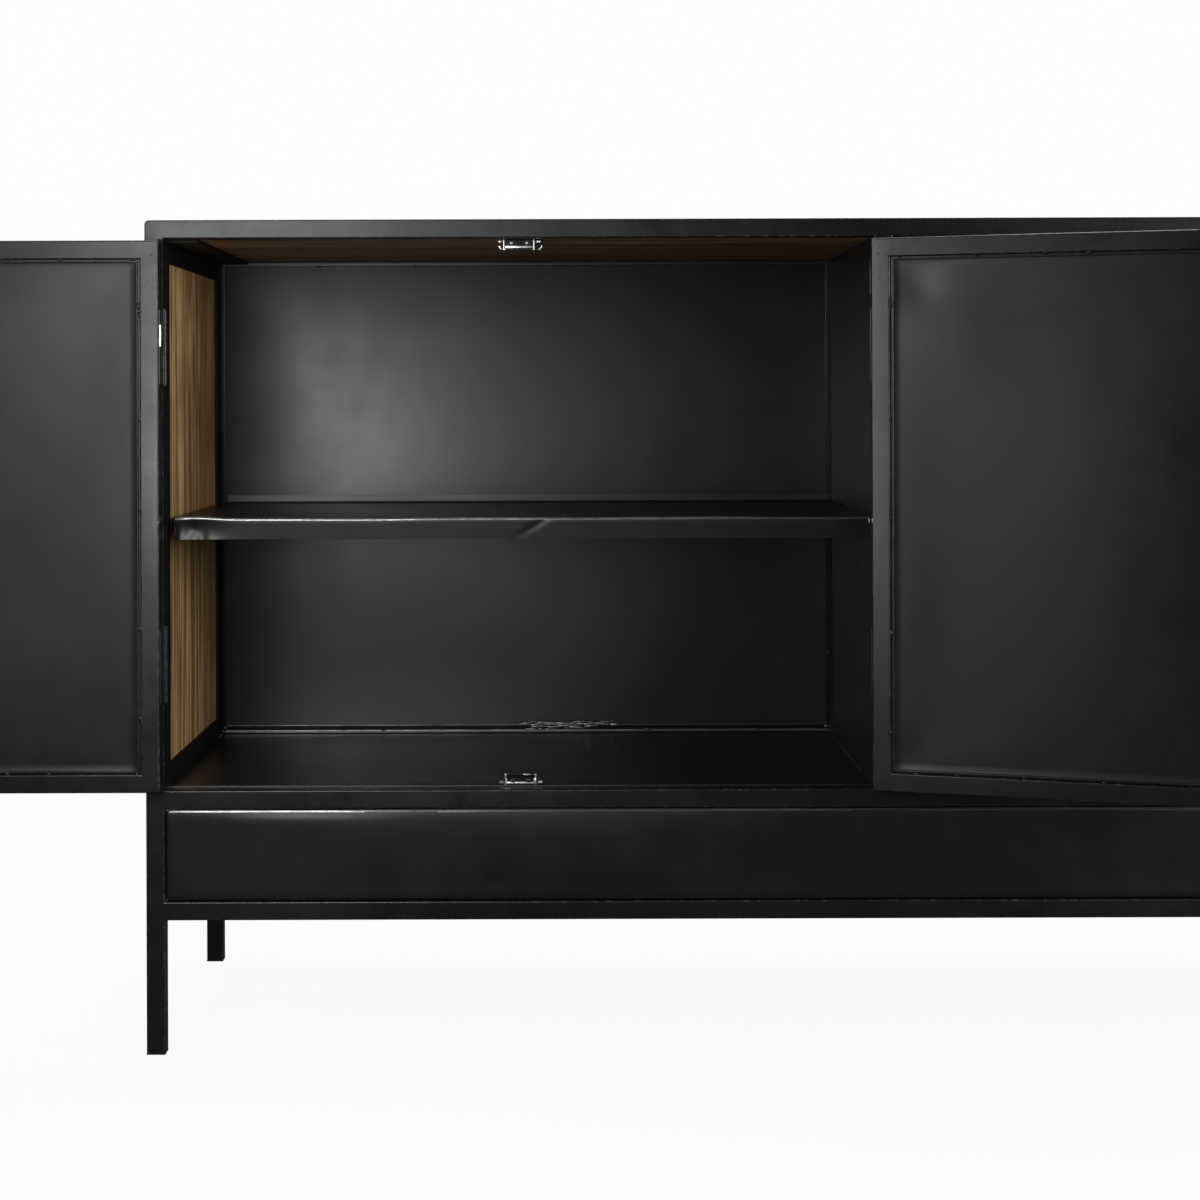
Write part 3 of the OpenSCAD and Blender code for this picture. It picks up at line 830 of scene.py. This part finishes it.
def add_fascias():
    """Long trays below the doors."""
    places = {
        "front": (2.2, [(0.135, 0.085, 3.4 * MM), (0.45, 0.30, 0.8 * MM)], [(0.335, 0.020, 0.007, 0.8 * MM)]),
        "back": (9.4, [], []),
    }
    for side, (seed, rolled, dents) in places.items():
        node = f"fascia_{side}"
        low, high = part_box(node)
        bm = fascia_plate(high.x - low.x, high.z - low.z, seed, rolled, dents)
        if side == "front":
            bm.transform(facing(low, (1, 0, 0), (0, 0, 1)))
        else:
            bm.transform(facing((high.x, high.y, low.z), (-1, 0, 0), (0, 0, 1)))
        made = add_piece(f"bowed_{node}", bm, [SHEET_STEEL, RUBBED_HIGHLIT_FASCIA], [node])
        thicken(made, SHEET)

    low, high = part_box("fascia_sides")
    depth, length = high.y - low.y, high.z - low.z
    bm = fascia_plate(depth, length, 4.1)
    bm.transform(facing((low.x, high.y, low.z), (0, -1, 0), (0, 0, 1)))
    other = fascia_plate(depth, length, 7.3)
    other.transform(facing((high.x, low.y, low.z), (0, 1, 0), (0, 0, 1)))
    join(bm, other)
    made = add_piece("bowed_fascia_sides", bm, [SHEET_STEEL, STEEL_EDGE], ["fascia_sides"])
    thicken(made, SHEET)


def add_shelves():
    """Folded shelves: front lip down, back edge up, with the knocks of the open one."""
    radius = 2.5 * MM
    upstand = 5 * MM
    rear_radius = 2 * MM
    lean = 0.7 * MM
    rear_top = 9 * MM

    for node, side in (("shelf_left", 1), ("shelf_right", -1)):
        low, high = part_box(node)
        face_z = high.z - upstand
        lip_rows = 7
        flat_rows = 26
        flat_start, flat_end = low.y + radius, high.y - rear_radius - lean
        profile = []
        for n in range(lip_rows):
            share = n / lip_rows
            profile.append((low.y + 2.6 * MM * (1 - share), low.z + (face_z - radius - low.z) * share))
        profile += arc((low.y + radius, face_z - radius), radius, 180, 90)
        for n in range(1, flat_rows + 1):
            profile.append((flat_start + (flat_end - flat_start) * n / flat_rows, face_z))
        profile += arc((flat_end, face_z + rear_radius), rear_radius, -90, -5, 4)[1:]
        profile += [(high.y - lean / 2, face_z + rear_top / 2), (high.y, face_z + rear_top)]
        relief = bulges(1.9 * side + 11, 0.3, 1.6 * MM)

        def bend(x, n, y, z, low=low, high=high, face_z=face_z, relief=relief, side=side):
            across = x - low.x if side > 0 else high.x - x
            near_front = smooth(1 - (y - low.y) / (30 * MM))
            new_y, new_z = y, z
            if z >= face_z - 0.01 * MM:
                new_z += min(0.8 * MM, relief(x - low.x, y - low.y, high.x - low.x, high.y - low.y))
            # the front corner is knocked round and down
            corner = smooth(1 - across / (16 * MM))
            new_y += near_front * corner**2 * 1.2 * MM
            knock = exp(-(((across - 20 * MM) / (26 * MM)) ** 2)) * near_front
            share = (z - low.z) / (face_z - low.z)
            if side > 0:
                new_z += knock * 1.8 * MM * smooth(share)
                new_y += knock * 2.2 * MM * sin(pi * min(1.0, share * 1.1))
                crumple = noise.noise(Vector((across / (11 * MM), share * 1.6, 7)))
                crumpled = near_front * smooth(1.6 - across / (30 * MM)) * smooth(1.2 - share)
                new_y += 3.0 * MM * crumple * crumpled
            # a slanted crease near the middle of the lip
            crease_at = 0.350 + 0.034 * share
            crease = exp(-(((across - crease_at) / (5 * MM)) ** 2)) * near_front * smooth(share + 0.2)
            if side > 0:
                new_y += 1.1 * MM * crease
            new_z += near_front * 0.5 * MM * noise.noise(Vector((x / 0.12, side, 3)))
            return (x, new_y, new_z)

        bm = swept_sheet(profile, low.x, high.x, 3 * MM, bend, worn=range(lip_rows, lip_rows + 4))
        name = node.replace("shelf", "folded_shelf")
        made = add_piece(name, bm, [SHEET_STEEL, RUBBED_HIGHLIT_LIP], [node])
        thicken(made, SHEET)


def add_sheet_welds():
    """Tacks and beads between the back stops, the divider skins and the floors."""
    rng = random.Random(12)
    bm = bmesh.new()
    stops_low, stops_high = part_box("back_stops")
    skin_x = -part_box("divider_skin_left")[0].x
    floor_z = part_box("floor_left")[1].z
    front = stops_low.y - 0.2 * MM
    near_y = -INNER_Y + 1 * MM
    for side in (-1, 1):
        edge = side * (skin_x + 0.8 * MM)
        for z in (0.3657, 0.6625):
            tack(bm, (edge + side * 2.4 * MM, front, z), (2.6, 1.3, 2.2), rng)
        for share in (0.16, 0.32, 0.56, 0.73, 0.9):
            x = side * (INNER_X + (skin_x - INNER_X) * share)
            tack(bm, (x, front, stops_high.z - 5.2 * MM), (3.2, 1.2, 1.4), rng)
        for share in (0.2, 0.265, 0.7, 0.88):
            x = side * (INNER_X + (skin_x - INNER_X) * share)
            tack(bm, (x, front - 1 * MM, floor_z + 4.6 * MM), (3.0, 1.3, 1.6), rng)
        tack(bm, (side * (skin_x + 3 * MM), front - 1 * MM, floor_z + 7 * MM), (6, 2, 2.6), rng)
        x = side * (skin_x + 0.6 * MM)
        start, end = (x, front - 2 * MM, floor_z + 0.8 * MM), (x, -0.6 * INNER_Y, floor_z + 0.4 * MM)
        bead(bm, start, end, 1.5 * MM, rng, pitch=7 * MM)
        x = side * (skin_x + 0.2 * MM)
        bead(bm, (x, near_y, TOP_RAIL_Z - 60 * MM), (x, near_y, TOP_RAIL_Z - 20 * MM), 1.1 * MM, rng)
    add_piece("sheet_welds", bm, [WELD])
    bare = bmesh.new()
    lip_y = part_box("shelf_left")[0].y
    for side in (-1, 1):
        tack(bare, (side * (skin_x + 1.6 * MM), lip_y - 0.4 * MM, 0.540), (1.1, 1.0, 5), rng)
    add_piece("shelf_glints", bare, [BARE])


def add_ground_weld():
    """A smeared weld on the left compartment's back stop, ground back to bare metal."""
    rng = random.Random(21)
    bm = bmesh.new()
    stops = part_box("back_stops")[0]
    start, end = -0.376, -0.262
    for row, (z, thick) in enumerate(((10.2, 1.1), (12.4, 0.8), (7.6, 0.9), (5.2, 0.5))):
        x = start + rng.uniform(0, 14) * MM
        while x < end - row * 12 * MM:
            length = rng.uniform(7, 16)
            lift = rng.uniform(-0.8, 0.8) * MM
            size = (length * 0.6, 0.7, thick * rng.uniform(0.7, 1.5))
            tack(bm, (x, stops.y + 0.1 * MM, stops.z + z * MM + lift), size, rng)
            x += length * MM * rng.uniform(0.5, 1.2)
    add_piece("ground_weld", bm, [BARE])


# ---- timber

def add_boards(name, boxes, materials, body, replaces, matrix=None, shades=None):
    """Boards with eased edges, each with its own shift of the grain and its own shade."""
    rng = random.Random(name)
    whole = bmesh.new()
    grain = whole.verts.layers.float_vector.new("board")
    shade = whole.verts.layers.float.new("board_shade")
    shades = shades or [rng.uniform(0, 0.8) for _ in boxes]
    for (low, high), darker in zip(boxes, shades):
        bm = boxes_to_bmesh([(low, high)])
        round_edges(bm, 1.0 * MM, 2)
        shift = Vector([rng.uniform(-8, 8) for _ in range(3)])
        made = {}
        for vert in bm.verts:
            copy = whole.verts.new(vert.co)
            copy[grain] = shift
            copy[shade] = darker
            made[vert] = copy
        for face in bm.faces:
            whole.faces.new([made[v] for v in face.verts]).material_index = face.material_index
        bm.free()
    if matrix is not None:
        move(whole, matrix)
    add_piece(name, whole, materials, replaces, body, flat_faces=True)


def three_boards(low, high, axis):
    """Splits a box into three boards, side by side along an axis."""
    count = 3
    gap = 0.5 * MM
    pitch = (high[axis] - low[axis] + gap) / count
    boxes = []
    for n in range(count):
        start, end = low.copy(), high.copy()
        start[axis] = low[axis] + n * pitch
        end[axis] = low[axis] + n * pitch + pitch - gap
        boxes.append((start, end))
    return boxes


def add_top():
    boxes = three_boards(*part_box("top_planks"), 1)
    add_boards("top_boards", boxes, [WOOD_ALONG, WOOD_ALONG], "cabinet", ["top_planks"])


def add_sides():
    seam = -INNER_Y + 0.216
    half_gap = 0.25 * MM
    shades = [0.05, 0.75]
    for side in ("left", "right"):
        node = f"side_planks_{side}"
        low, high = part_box(node)
        boxes = [
            (low, Vector((high.x, seam - half_gap, high.z))),
            (Vector((low.x, seam + half_gap, low.z)), high),
        ]
        name = f"side_boards_{side}"
        add_boards(name, boxes, [WOOD_UP, WOOD_EDGE], "cabinet", [node], shades=shades)


# ---- doors

def door_place(i):
    """Matrix from a door's own frame (closed, left-hung, origin on its pin's line) to its place at rest."""
    hand = Matrix.Scale(-1, 4, (1, 0, 0)) if i % 2 == 0 else Matrix.Identity(4)
    turn = Matrix.Rotation(radians(REST_ANGLE[i]), 4, "Z")
    return Matrix.Translation((PIN[i].x, PIN[i].y, 0)) @ turn @ hand


def door_box(part):
    """A part's box in a door's own frame, taken from the closed fourth door."""
    low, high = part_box(f"door_4_{part}")
    return (
        Vector((PIN[4].x - high.x, low.y - PIN[4].y, low.z)),
        Vector((PIN[4].x - low.x, high.y - PIN[4].y, high.z)),
    )


def add_door_frame(i):
    """Mitred tube frame with its corners ground flush."""
    low, high = door_box("frame")
    bars = [
        (low, Vector((low.x + TUBE, high.y, high.z))),
        (Vector((high.x - TUBE, low.y, low.z)), high),
        (low, Vector((high.x, high.y, low.z + TUBE))),
        (Vector((low.x, low.y, high.z - TUBE)), high),
    ]
    bm = boxes_to_bmesh(bars)
    round_edges(bm, TUBE_RADIUS)
    move(bm, door_place(i))
    body = f"door_{i}"
    name = f"{body}_tube_frame"
    add_piece(name, bm, [STEEL, STEEL_EDGE], [f"{body}_frame"], body, flat_faces=True)


DOOR_DENTS = {
    1: [(0.03, 0.45, 0.05, -0.9 * MM), (0.16, 0.28, 0.13, 2.6 * MM)],
    2: [(0.294, 0.492, 0.022, 1.6 * MM), (0.26, 0.44, 0.05, -1.6 * MM), (0.308, 0.012, 0.02, 0.8 * MM)],
    3: [(0.20, 0.20, 0.08, 0.6 * MM)],
    4: [(0.14, 0.30, 0.10, -0.6 * MM)],
}


def add_door_sheet(i):
    """Inner sheet, set back in its frame: a gap and a hemmed bead run round its edge."""
    low, high = door_box("sheet")
    width, length = high.x - low.x, high.z - low.z
    gap, bead_end = 1.4 * MM, 3.0 * MM
    radius = 0.75 * MM
    top = high.y - low.y - SHEET - 0.3 * MM
    border = [(0, -0.7 * MM), (gap - 0.1 * MM, -0.6 * MM)]
    border += arc((gap + radius, top - radius), radius, 180, 90, 3)
    border += arc((bead_end - radius, top - radius), radius, 90, 0, 3)
    border += [(bead_end + 0.1 * MM, 0.3 * MM), (bead_end + 0.8 * MM, 0)]
    relief = bulges(2.3 * i + 0.7, 0.26, 2.4 * MM, DOOR_DENTS[i])
    bm = sheet_bmesh(width, length, border, 7 * MM, relief)
    # the hem bead's crest takes the lighter steel: worn lacquer and a painted highlight
    rub(bm, lambda place: place.z > top - radius and on_hem(place, width, length, gap, bead_end))
    # the face is towards the cabinet, along the door's own +Y
    bm.transform(facing((high.x, low.y + SHEET, low.z), (-1, 0, 0), (0, 0, 1)))
    move(bm, door_place(i))
    body = f"door_{i}"
    made = add_piece(f"{body}_hemmed_sheet", bm, [DOOR_SHEET_STEEL, HIGHLIT_HEM_STEEL], [f"{body}_sheet"], body)
    thicken(made, SHEET * 0.5)


def on_hem(place, width, length, start, end):
    """Whether a point of a sheet lies between two insets from its edge."""
    inset = min(place.x, width - place.x, place.y, length - place.y)
    return start < inset < end


def add_door_tacks(i):
    """Tack welds between a door's hem and its frame, and a few on the frame's corners."""
    rng = random.Random(30 + i)
    low, high = door_box("sheet")
    face_y = high.y - 0.6 * MM
    bm = bmesh.new()
    lying, standing = (2.4, 0.9, 1.3), (1.3, 0.9, 2.8)
    for share in (0.05, 0.24, 0.45, 0.62, 0.86):
        x = low.x + (high.x - low.x) * (share + rng.uniform(-0.03, 0.03))
        tack(bm, (x, face_y, high.z + 0.1 * MM), lying, rng)
        x = low.x + (high.x - low.x) * (share + rng.uniform(-0.05, 0.05))
        tack(bm, (x, face_y, low.z - 0.1 * MM), lying, rng)
    for share in (0.08, 0.30, 0.52, 0.70, 0.92):
        z = low.z + (high.z - low.z) * (share + rng.uniform(-0.03, 0.03))
        tack(bm, (low.x - 0.1 * MM, face_y, z), standing, rng)
        tack(bm, (high.x + 0.1 * MM, face_y, z + rng.uniform(-20, 20) * MM), standing, rng)
    tack(bm, (low.x + 0.9 * MM, face_y, high.z - 47 * MM), (2.2, 1.4, 3.6), rng)
    move(bm, door_place(i))
    add_piece(f"door_{i}_tacks", bm, [WELD], body=f"door_{i}")


def add_door_marks(i):
    """A bare scrape on the hinge edge, and two small pits in the face of the hinge stile, drawn as dark
    specks of painted shade.
    """
    rng = random.Random(60 + i)
    low, high = door_box("frame")
    scrape = bmesh.new()
    tack(scrape, (low.x + 0.9 * MM, high.y - 0.9 * MM, 0.5427), (1.0, 1.0, 3.2), rng)
    move(scrape, door_place(i))
    add_piece(f"door_{i}_scrape", scrape, [BARE], (), f"door_{i}")
    pits = bmesh.new()
    # painted shade: dark specks stand in for the shade inside the pits
    for across, down in ((7.0 * MM, 15.5 * MM), (9.0 * MM, 41 * MM)):
        tack(pits, (low.x + across, high.y, high.z - down), (0.9, 0.12, 1.1), rng)
    move(pits, door_place(i))
    add_piece(f"door_{i}_pits", pits, [MAGNET], (), f"door_{i}")


def add_door_boards(i):
    body = f"door_{i}"
    boxes = three_boards(*door_box("planks"), 0)
    add_boards(f"{body}_boards", boxes, [WOOD_UP, WOOD_EDGE], body, [f"{body}_planks"], door_place(i))


def add_pull(i):
    """Round bar with domed ends on two feet, each in a small weld collar."""
    low, high = door_box("pull")
    radius = 4 * MM
    span = 96 * MM
    x = (low.x + high.x) / 2
    bar_y = low.y + radius
    middle = (low.z + high.z) / 2
    door_face = door_box("frame")[0].y
    dome = []
    for degrees in (78, 60, 40, 20, 0):
        a = radians(degrees)
        dome.append((radius * cos(a), radius * (1 - sin(a)) * 0.5))
    length = high.z - low.z
    profile = dome + [(r, length - along) for r, along in reversed(dome)]
    bm = bmesh.new()
    turned(bm, profile, (x, bar_y, low.z), (0, 0, 1))
    foot = radius - 0.5 * MM
    out = door_face - bar_y
    collar = [(foot, 0)]
    for wider, before in ((0, 2.6), (0.5, 1.4), (1.5, 0.3), (1.8, -0.1)):
        collar.append((foot + wider * MM, out - before * MM))
    for z in (middle - span / 2, middle + span / 2):
        turned(bm, collar, (x, bar_y, z), (0, 1, 0))
    move(bm, door_place(i))
    body = f"door_{i}"
    add_piece(f"{body}_bar_pull", bm, [STEEL_EDGE], [f"{body}_pull"], body)


def add_bare_edge():
    """The bright folded edge of the first door's upper hinge leaf, where its paint has worn off."""
    bm = boxes_to_bmesh([((-1.3 * MM, 21.0 * MM, 0.7205), (0.8 * MM, 22.9 * MM, 0.7424))])
    round_edges(bm, 0.45 * MM, 3)
    move(bm, door_place(1))
    add_piece("door_1_leaf_edge", bm, [ZINC, ZINC], (), "door_1", flat_faces=True)


def add_doors():
    add_bare_edge()
    for i in DOORS:
        add_door_frame(i)
        add_door_sheet(i)
        add_door_tacks(i)
        add_door_marks(i)
        add_door_boards(i)
        add_pull(i)


# ---- catches

CATCH_W = 32 * MM
CATCH_H = 11 * MM
CATCH_EAR_W = 46 * MM
MAGNET_X = 8 * MM


def catch_places():
    """Matrices of the four catches: two hang under the top, two stand on the floor."""
    low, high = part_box("catch_bodies")
    middle = high.x - CATCH_EAR_W / 2
    for side in (-1, 1):
        yield Matrix.Translation((side * middle, low.y, high.z))
        yield Matrix.Translation((side * middle, low.y, low.z)) @ Matrix.Scale(-1, 4, (0, 0, 1))


def catch_shell(standing):
    """A pressed shell: a rim and a ridge round its sunk face, and a hook beyond each end. Its rim ends and
    ridge take the bright zinc, the rest a dark copy painted in as shade.
    """
    low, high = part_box("catch_bodies")
    depth = high.y - low.y
    half = CATCH_W / 2
    rim, deep = 1.0 * MM, 0.8 * MM
    ridge = (-2.8 * MM, -1.0 * MM) if standing else (-CATCH_H + 2.1 * MM, -CATCH_H + 4.1 * MM)
    bm = boxes_to_bmesh(
        [
            ((-half, deep, -CATCH_H), (half, depth, 0)),
            ((-half, 0, -CATCH_H), (-half + rim, deep, 0)),
            ((half - rim, 0, -CATCH_H), (half, deep, 0)),
            ((-half + rim, 0, -CATCH_H), (half - rim, deep, -CATCH_H + rim)),
            ((-half + 2 * rim, 0.1 * MM, ridge[0]), (half - 2 * rim, deep, ridge[1])),
            ((-CATCH_EAR_W / 2, deep, -1.5 * MM), (CATCH_EAR_W / 2, 10 * MM, 0)),
        ]
    )
    round_edges(bm, 0.35 * MM, 2)
    for face in bm.faces:
        middle = face.calc_center_median()
        on_end = half - 1.5 * MM < abs(middle.x) < half + 0.1 * MM
        on_ridge = ridge[0] - 0.1 * MM < middle.z < ridge[1] + 0.1 * MM and abs(middle.x) < half
        # painted light and shade: rim ends and ridge get the bright zinc, all other faces the shaded copy
        bright = middle.y < 0.95 * deep and (on_end or on_ridge)
        face.material_index = 0 if bright else 1
    shell = set(bm.faces)
    for side, out in ((-1, 0.4 * MM), (1, 3.4 * MM)):
        path = []
        for turn in range(5, -91, -9):
            a = radians(turn)
            x = half + out + 3.9 * MM * cos(a)
            path.append((side * x, 1.6 * MM, -6.5 * MM + 3.9 * MM * sin(a)))
        tube(bm, path, [0.6 * MM] + [1.0 * MM] * (len(path) - 2) + [0.6 * MM], up=(0.1, 1, 0))
    for side in (-1, 1):
        pin = [(1.3 * MM, 0.8 * MM), (1.3 * MM, -0.2 * MM), (0.7 * MM, -0.6 * MM)]
        turned(bm, pin, (side * MAGNET_X, 0, -3.8 * MM), (0, 1, 0))
    # painted shade: hooks and pins take the shaded zinc on a standing catch, the bright zinc on a hanging one
    for face in set(bm.faces) - shell:
        face.material_index = 1 if standing else 0
    if standing:
        add_rolled_rim(bm, half)
    return bm


def add_rolled_rim(bm, half):
    """Bright rolled edges low on a standing catch."""
    rods = [
        ((-half + 0.6 * MM, -1.7 * MM), (half - 0.6 * MM, -1.7 * MM), 1.0 * MM),
        ((-half + 1.2 * MM, -1.7 * MM), (-half + 0.8 * MM, -7.0 * MM), 1.0 * MM),
        ((half - 1.4 * MM, -1.7 * MM), (half - 1.6 * MM, -6.8 * MM), 1.6 * MM),
        ((1.5 * MM, -CATCH_H + 0.6 * MM), (half - 4 * MM, -CATCH_H + 0.6 * MM), 0.8 * MM),
    ]
    for (x0, z0), (x1, z1), radius in rods:
        path = [(x0 + (x1 - x0) * n / 4, 0.6 * MM, z0 + (z1 - z0) * n / 4) for n in range(5)]
        tube(bm, path, [radius * 0.7] + [radius] * 3 + [radius * 0.7])


def magnet_ring(standing):
    """The two round magnets of a catch, each around its pole pin; the same however it is hung."""
    bm = bmesh.new()
    ring = [(2.7 * MM, 0.9 * MM), (2.7 * MM, 0.1 * MM), (2.2 * MM, -0.2 * MM)]
    for side in (-1, 1):
        turned(bm, ring, (side * MAGNET_X, 0, -3.8 * MM), (0, 1, 0))
    return bm


def four_catches(name, make, materials, replaces):
    whole = bmesh.new()
    for place in catch_places():
        bm = make(place.determinant() < 0)
        move(bm, place)
        join(whole, bm)
    add_piece(name, whole, materials, replaces)


def add_catches():
    four_catches("catch_shells", catch_shell, [ZINC, SHADED_ZINC], ["catch_bodies"])
    four_catches("catch_magnet_rings", magnet_ring, [MAGNET], ["catch_magnets"])


# ---- carried-over nodes

def dress_cad_nodes():
    dress_node("divider_rails", STEEL, STEEL_EDGE, 1.5 * MM)
    dress_node("foot_plugs", PLASTIC, PLASTIC, 0.5 * MM)
    dress_node("side_strips", SHADED_STRIP_STEEL, SHADED_STRIP_STEEL, 0.4 * MM)
    dress_node("shelf_cleats", STEEL, STEEL_EDGE, 0.5 * MM)
    dress_node("catch_screws", ZINC, ZINC, 0.35 * MM)
    dress_node("hinge_leaves", HINGE_STEEL, HINGE_STEEL, 0.25 * MM)
    dress_node("hinge_pins", HINGE_STEEL, HINGE_STEEL, 0.3 * MM)
    for i in DOORS:
        dress_node(f"door_{i}_leaves", HINGE_STEEL, HINGE_STEEL, 0.25 * MM)


# ---- studio

def add_camera():
    """Stands left of the middle, level, at about two thirds of the cabinet's height."""
    data = bpy.data.cameras.new("camera")
    data.lens = 66.97
    data.sensor_width = 36.0
    data.shift_x = 0.0282
    data.shift_y = -0.1645
    camera = add_object("camera", data)
    camera.location = (-0.3232, -2.4727, 0.6618)
    camera.rotation_euler = (pi / 2 + 0.00042, 0.00324, 0.00024)
    bpy.context.scene.camera = camera


def add_light(name, place, target, size, power):
    data = bpy.data.lights.new(name, "AREA")
    data.shape = "RECTANGLE"
    data.size, data.size_y = size
    data.energy = power
    light = add_object(name, data)
    light.location = place
    light.rotation_euler = (Vector(target) - Vector(place)).to_track_quat("-Z", "Y").to_euler()


def add_lights():
    """A tall softbox close to the open door, and much weaker light from all other sides."""
    add_light("softbox_left", (-0.80, -1.2, 0.86), (-0.66, 0, 0.84), (0.32, 0.80), 6.8)
    add_light("softbox_low", (-0.50, -1.2, 0.54), (-0.40, 0, 0.54), (0.34, 0.60), 0.95)
    add_light("fill_right", (2.2, -1.2, 0.9), (-0.2, 0, 0.5), (0.8, 0.8), 28)
    add_light("fill_front_right", (1.8, -3.0, 0.9), (-0.2, 0, 0.5), (0.9, 0.9), 8)
    add_light("overhead", (0, 0.6, 3.0), (0, 0.6, 0), (3.0, 1.5), 52)
    add_light("fill_back", (0.6, 2.8, 1.8), (0, 0, 0.4), (1.6, 1.2), 30)
    add_light("fill_left", (-3.2, 1.0, 1.6), (0, 0, 0.4), (1.2, 1.2), 14)


def add_surroundings():
    """A pale floor that fades into a pale background."""
    s = Shader("studio_floor")
    s.set(Base_Color=(0.86, 0.86, 0.86, 1), Roughness=0.9, Specular_IOR_Level=0.1)
    far = s.add("ShaderNodeVectorMath", {"operation": "LENGTH"}, i0=s.coords).outputs["Value"]
    faded = s.add("ShaderNodeBsdfTransparent")
    share = s.remap(far, 0.9, 4.0, 0.93, 1)
    both = s.add("ShaderNodeMixShader", i0=share, i1=s.bsdf.outputs[0], i2=faded.outputs[0])
    s.tree.links.new(both.outputs[0], s.tree.nodes["Material Output"].inputs["Surface"])
    bm = bmesh.new()
    bmesh.ops.create_circle(bm, cap_ends=True, radius=6.5, segments=96)
    mesh = bpy.data.meshes.new("studio_floor")
    bm.to_mesh(mesh)
    bm.free()
    mesh.materials.append(s.material)
    floor = add_object("studio_floor", mesh)
    floor.visible_glossy = False
    floor.visible_diffuse = False

    world = bpy.data.worlds.new("studio")
    world.use_nodes = True
    tree = world.node_tree
    seen = tree.nodes["Background"]
    seen.inputs["Color"].default_value = (1, 1, 1, 1)
    seen.inputs["Strength"].default_value = 1.0
    ambient = tree.nodes.new("ShaderNodeBackground")
    ambient.inputs["Color"].default_value = (1, 1, 1, 1)
    ambient.inputs["Strength"].default_value = 0.06
    path = tree.nodes.new("ShaderNodeLightPath")
    pick = tree.nodes.new("ShaderNodeMixShader")
    tree.links.new(path.outputs["Is Camera Ray"], pick.inputs[0])
    tree.links.new(ambient.outputs[0], pick.inputs[1])
    tree.links.new(seen.outputs[0], pick.inputs[2])
    tree.links.new(pick.outputs[0], tree.nodes["World Output"].inputs["Surface"])
    bpy.context.scene.world = world


add_camera()
add_surroundings()
add_lights()
add_frame()
add_frame_welds()
add_back_panel()
add_divider_skins()
add_floors()
add_back_stops()
add_fascias()
add_shelves()
add_sheet_welds()
add_ground_weld()
add_top()
add_sides()
add_doors()
add_catches()
dress_cad_nodes()
bpy.context.scene.view_settings.view_transform = "Standard"
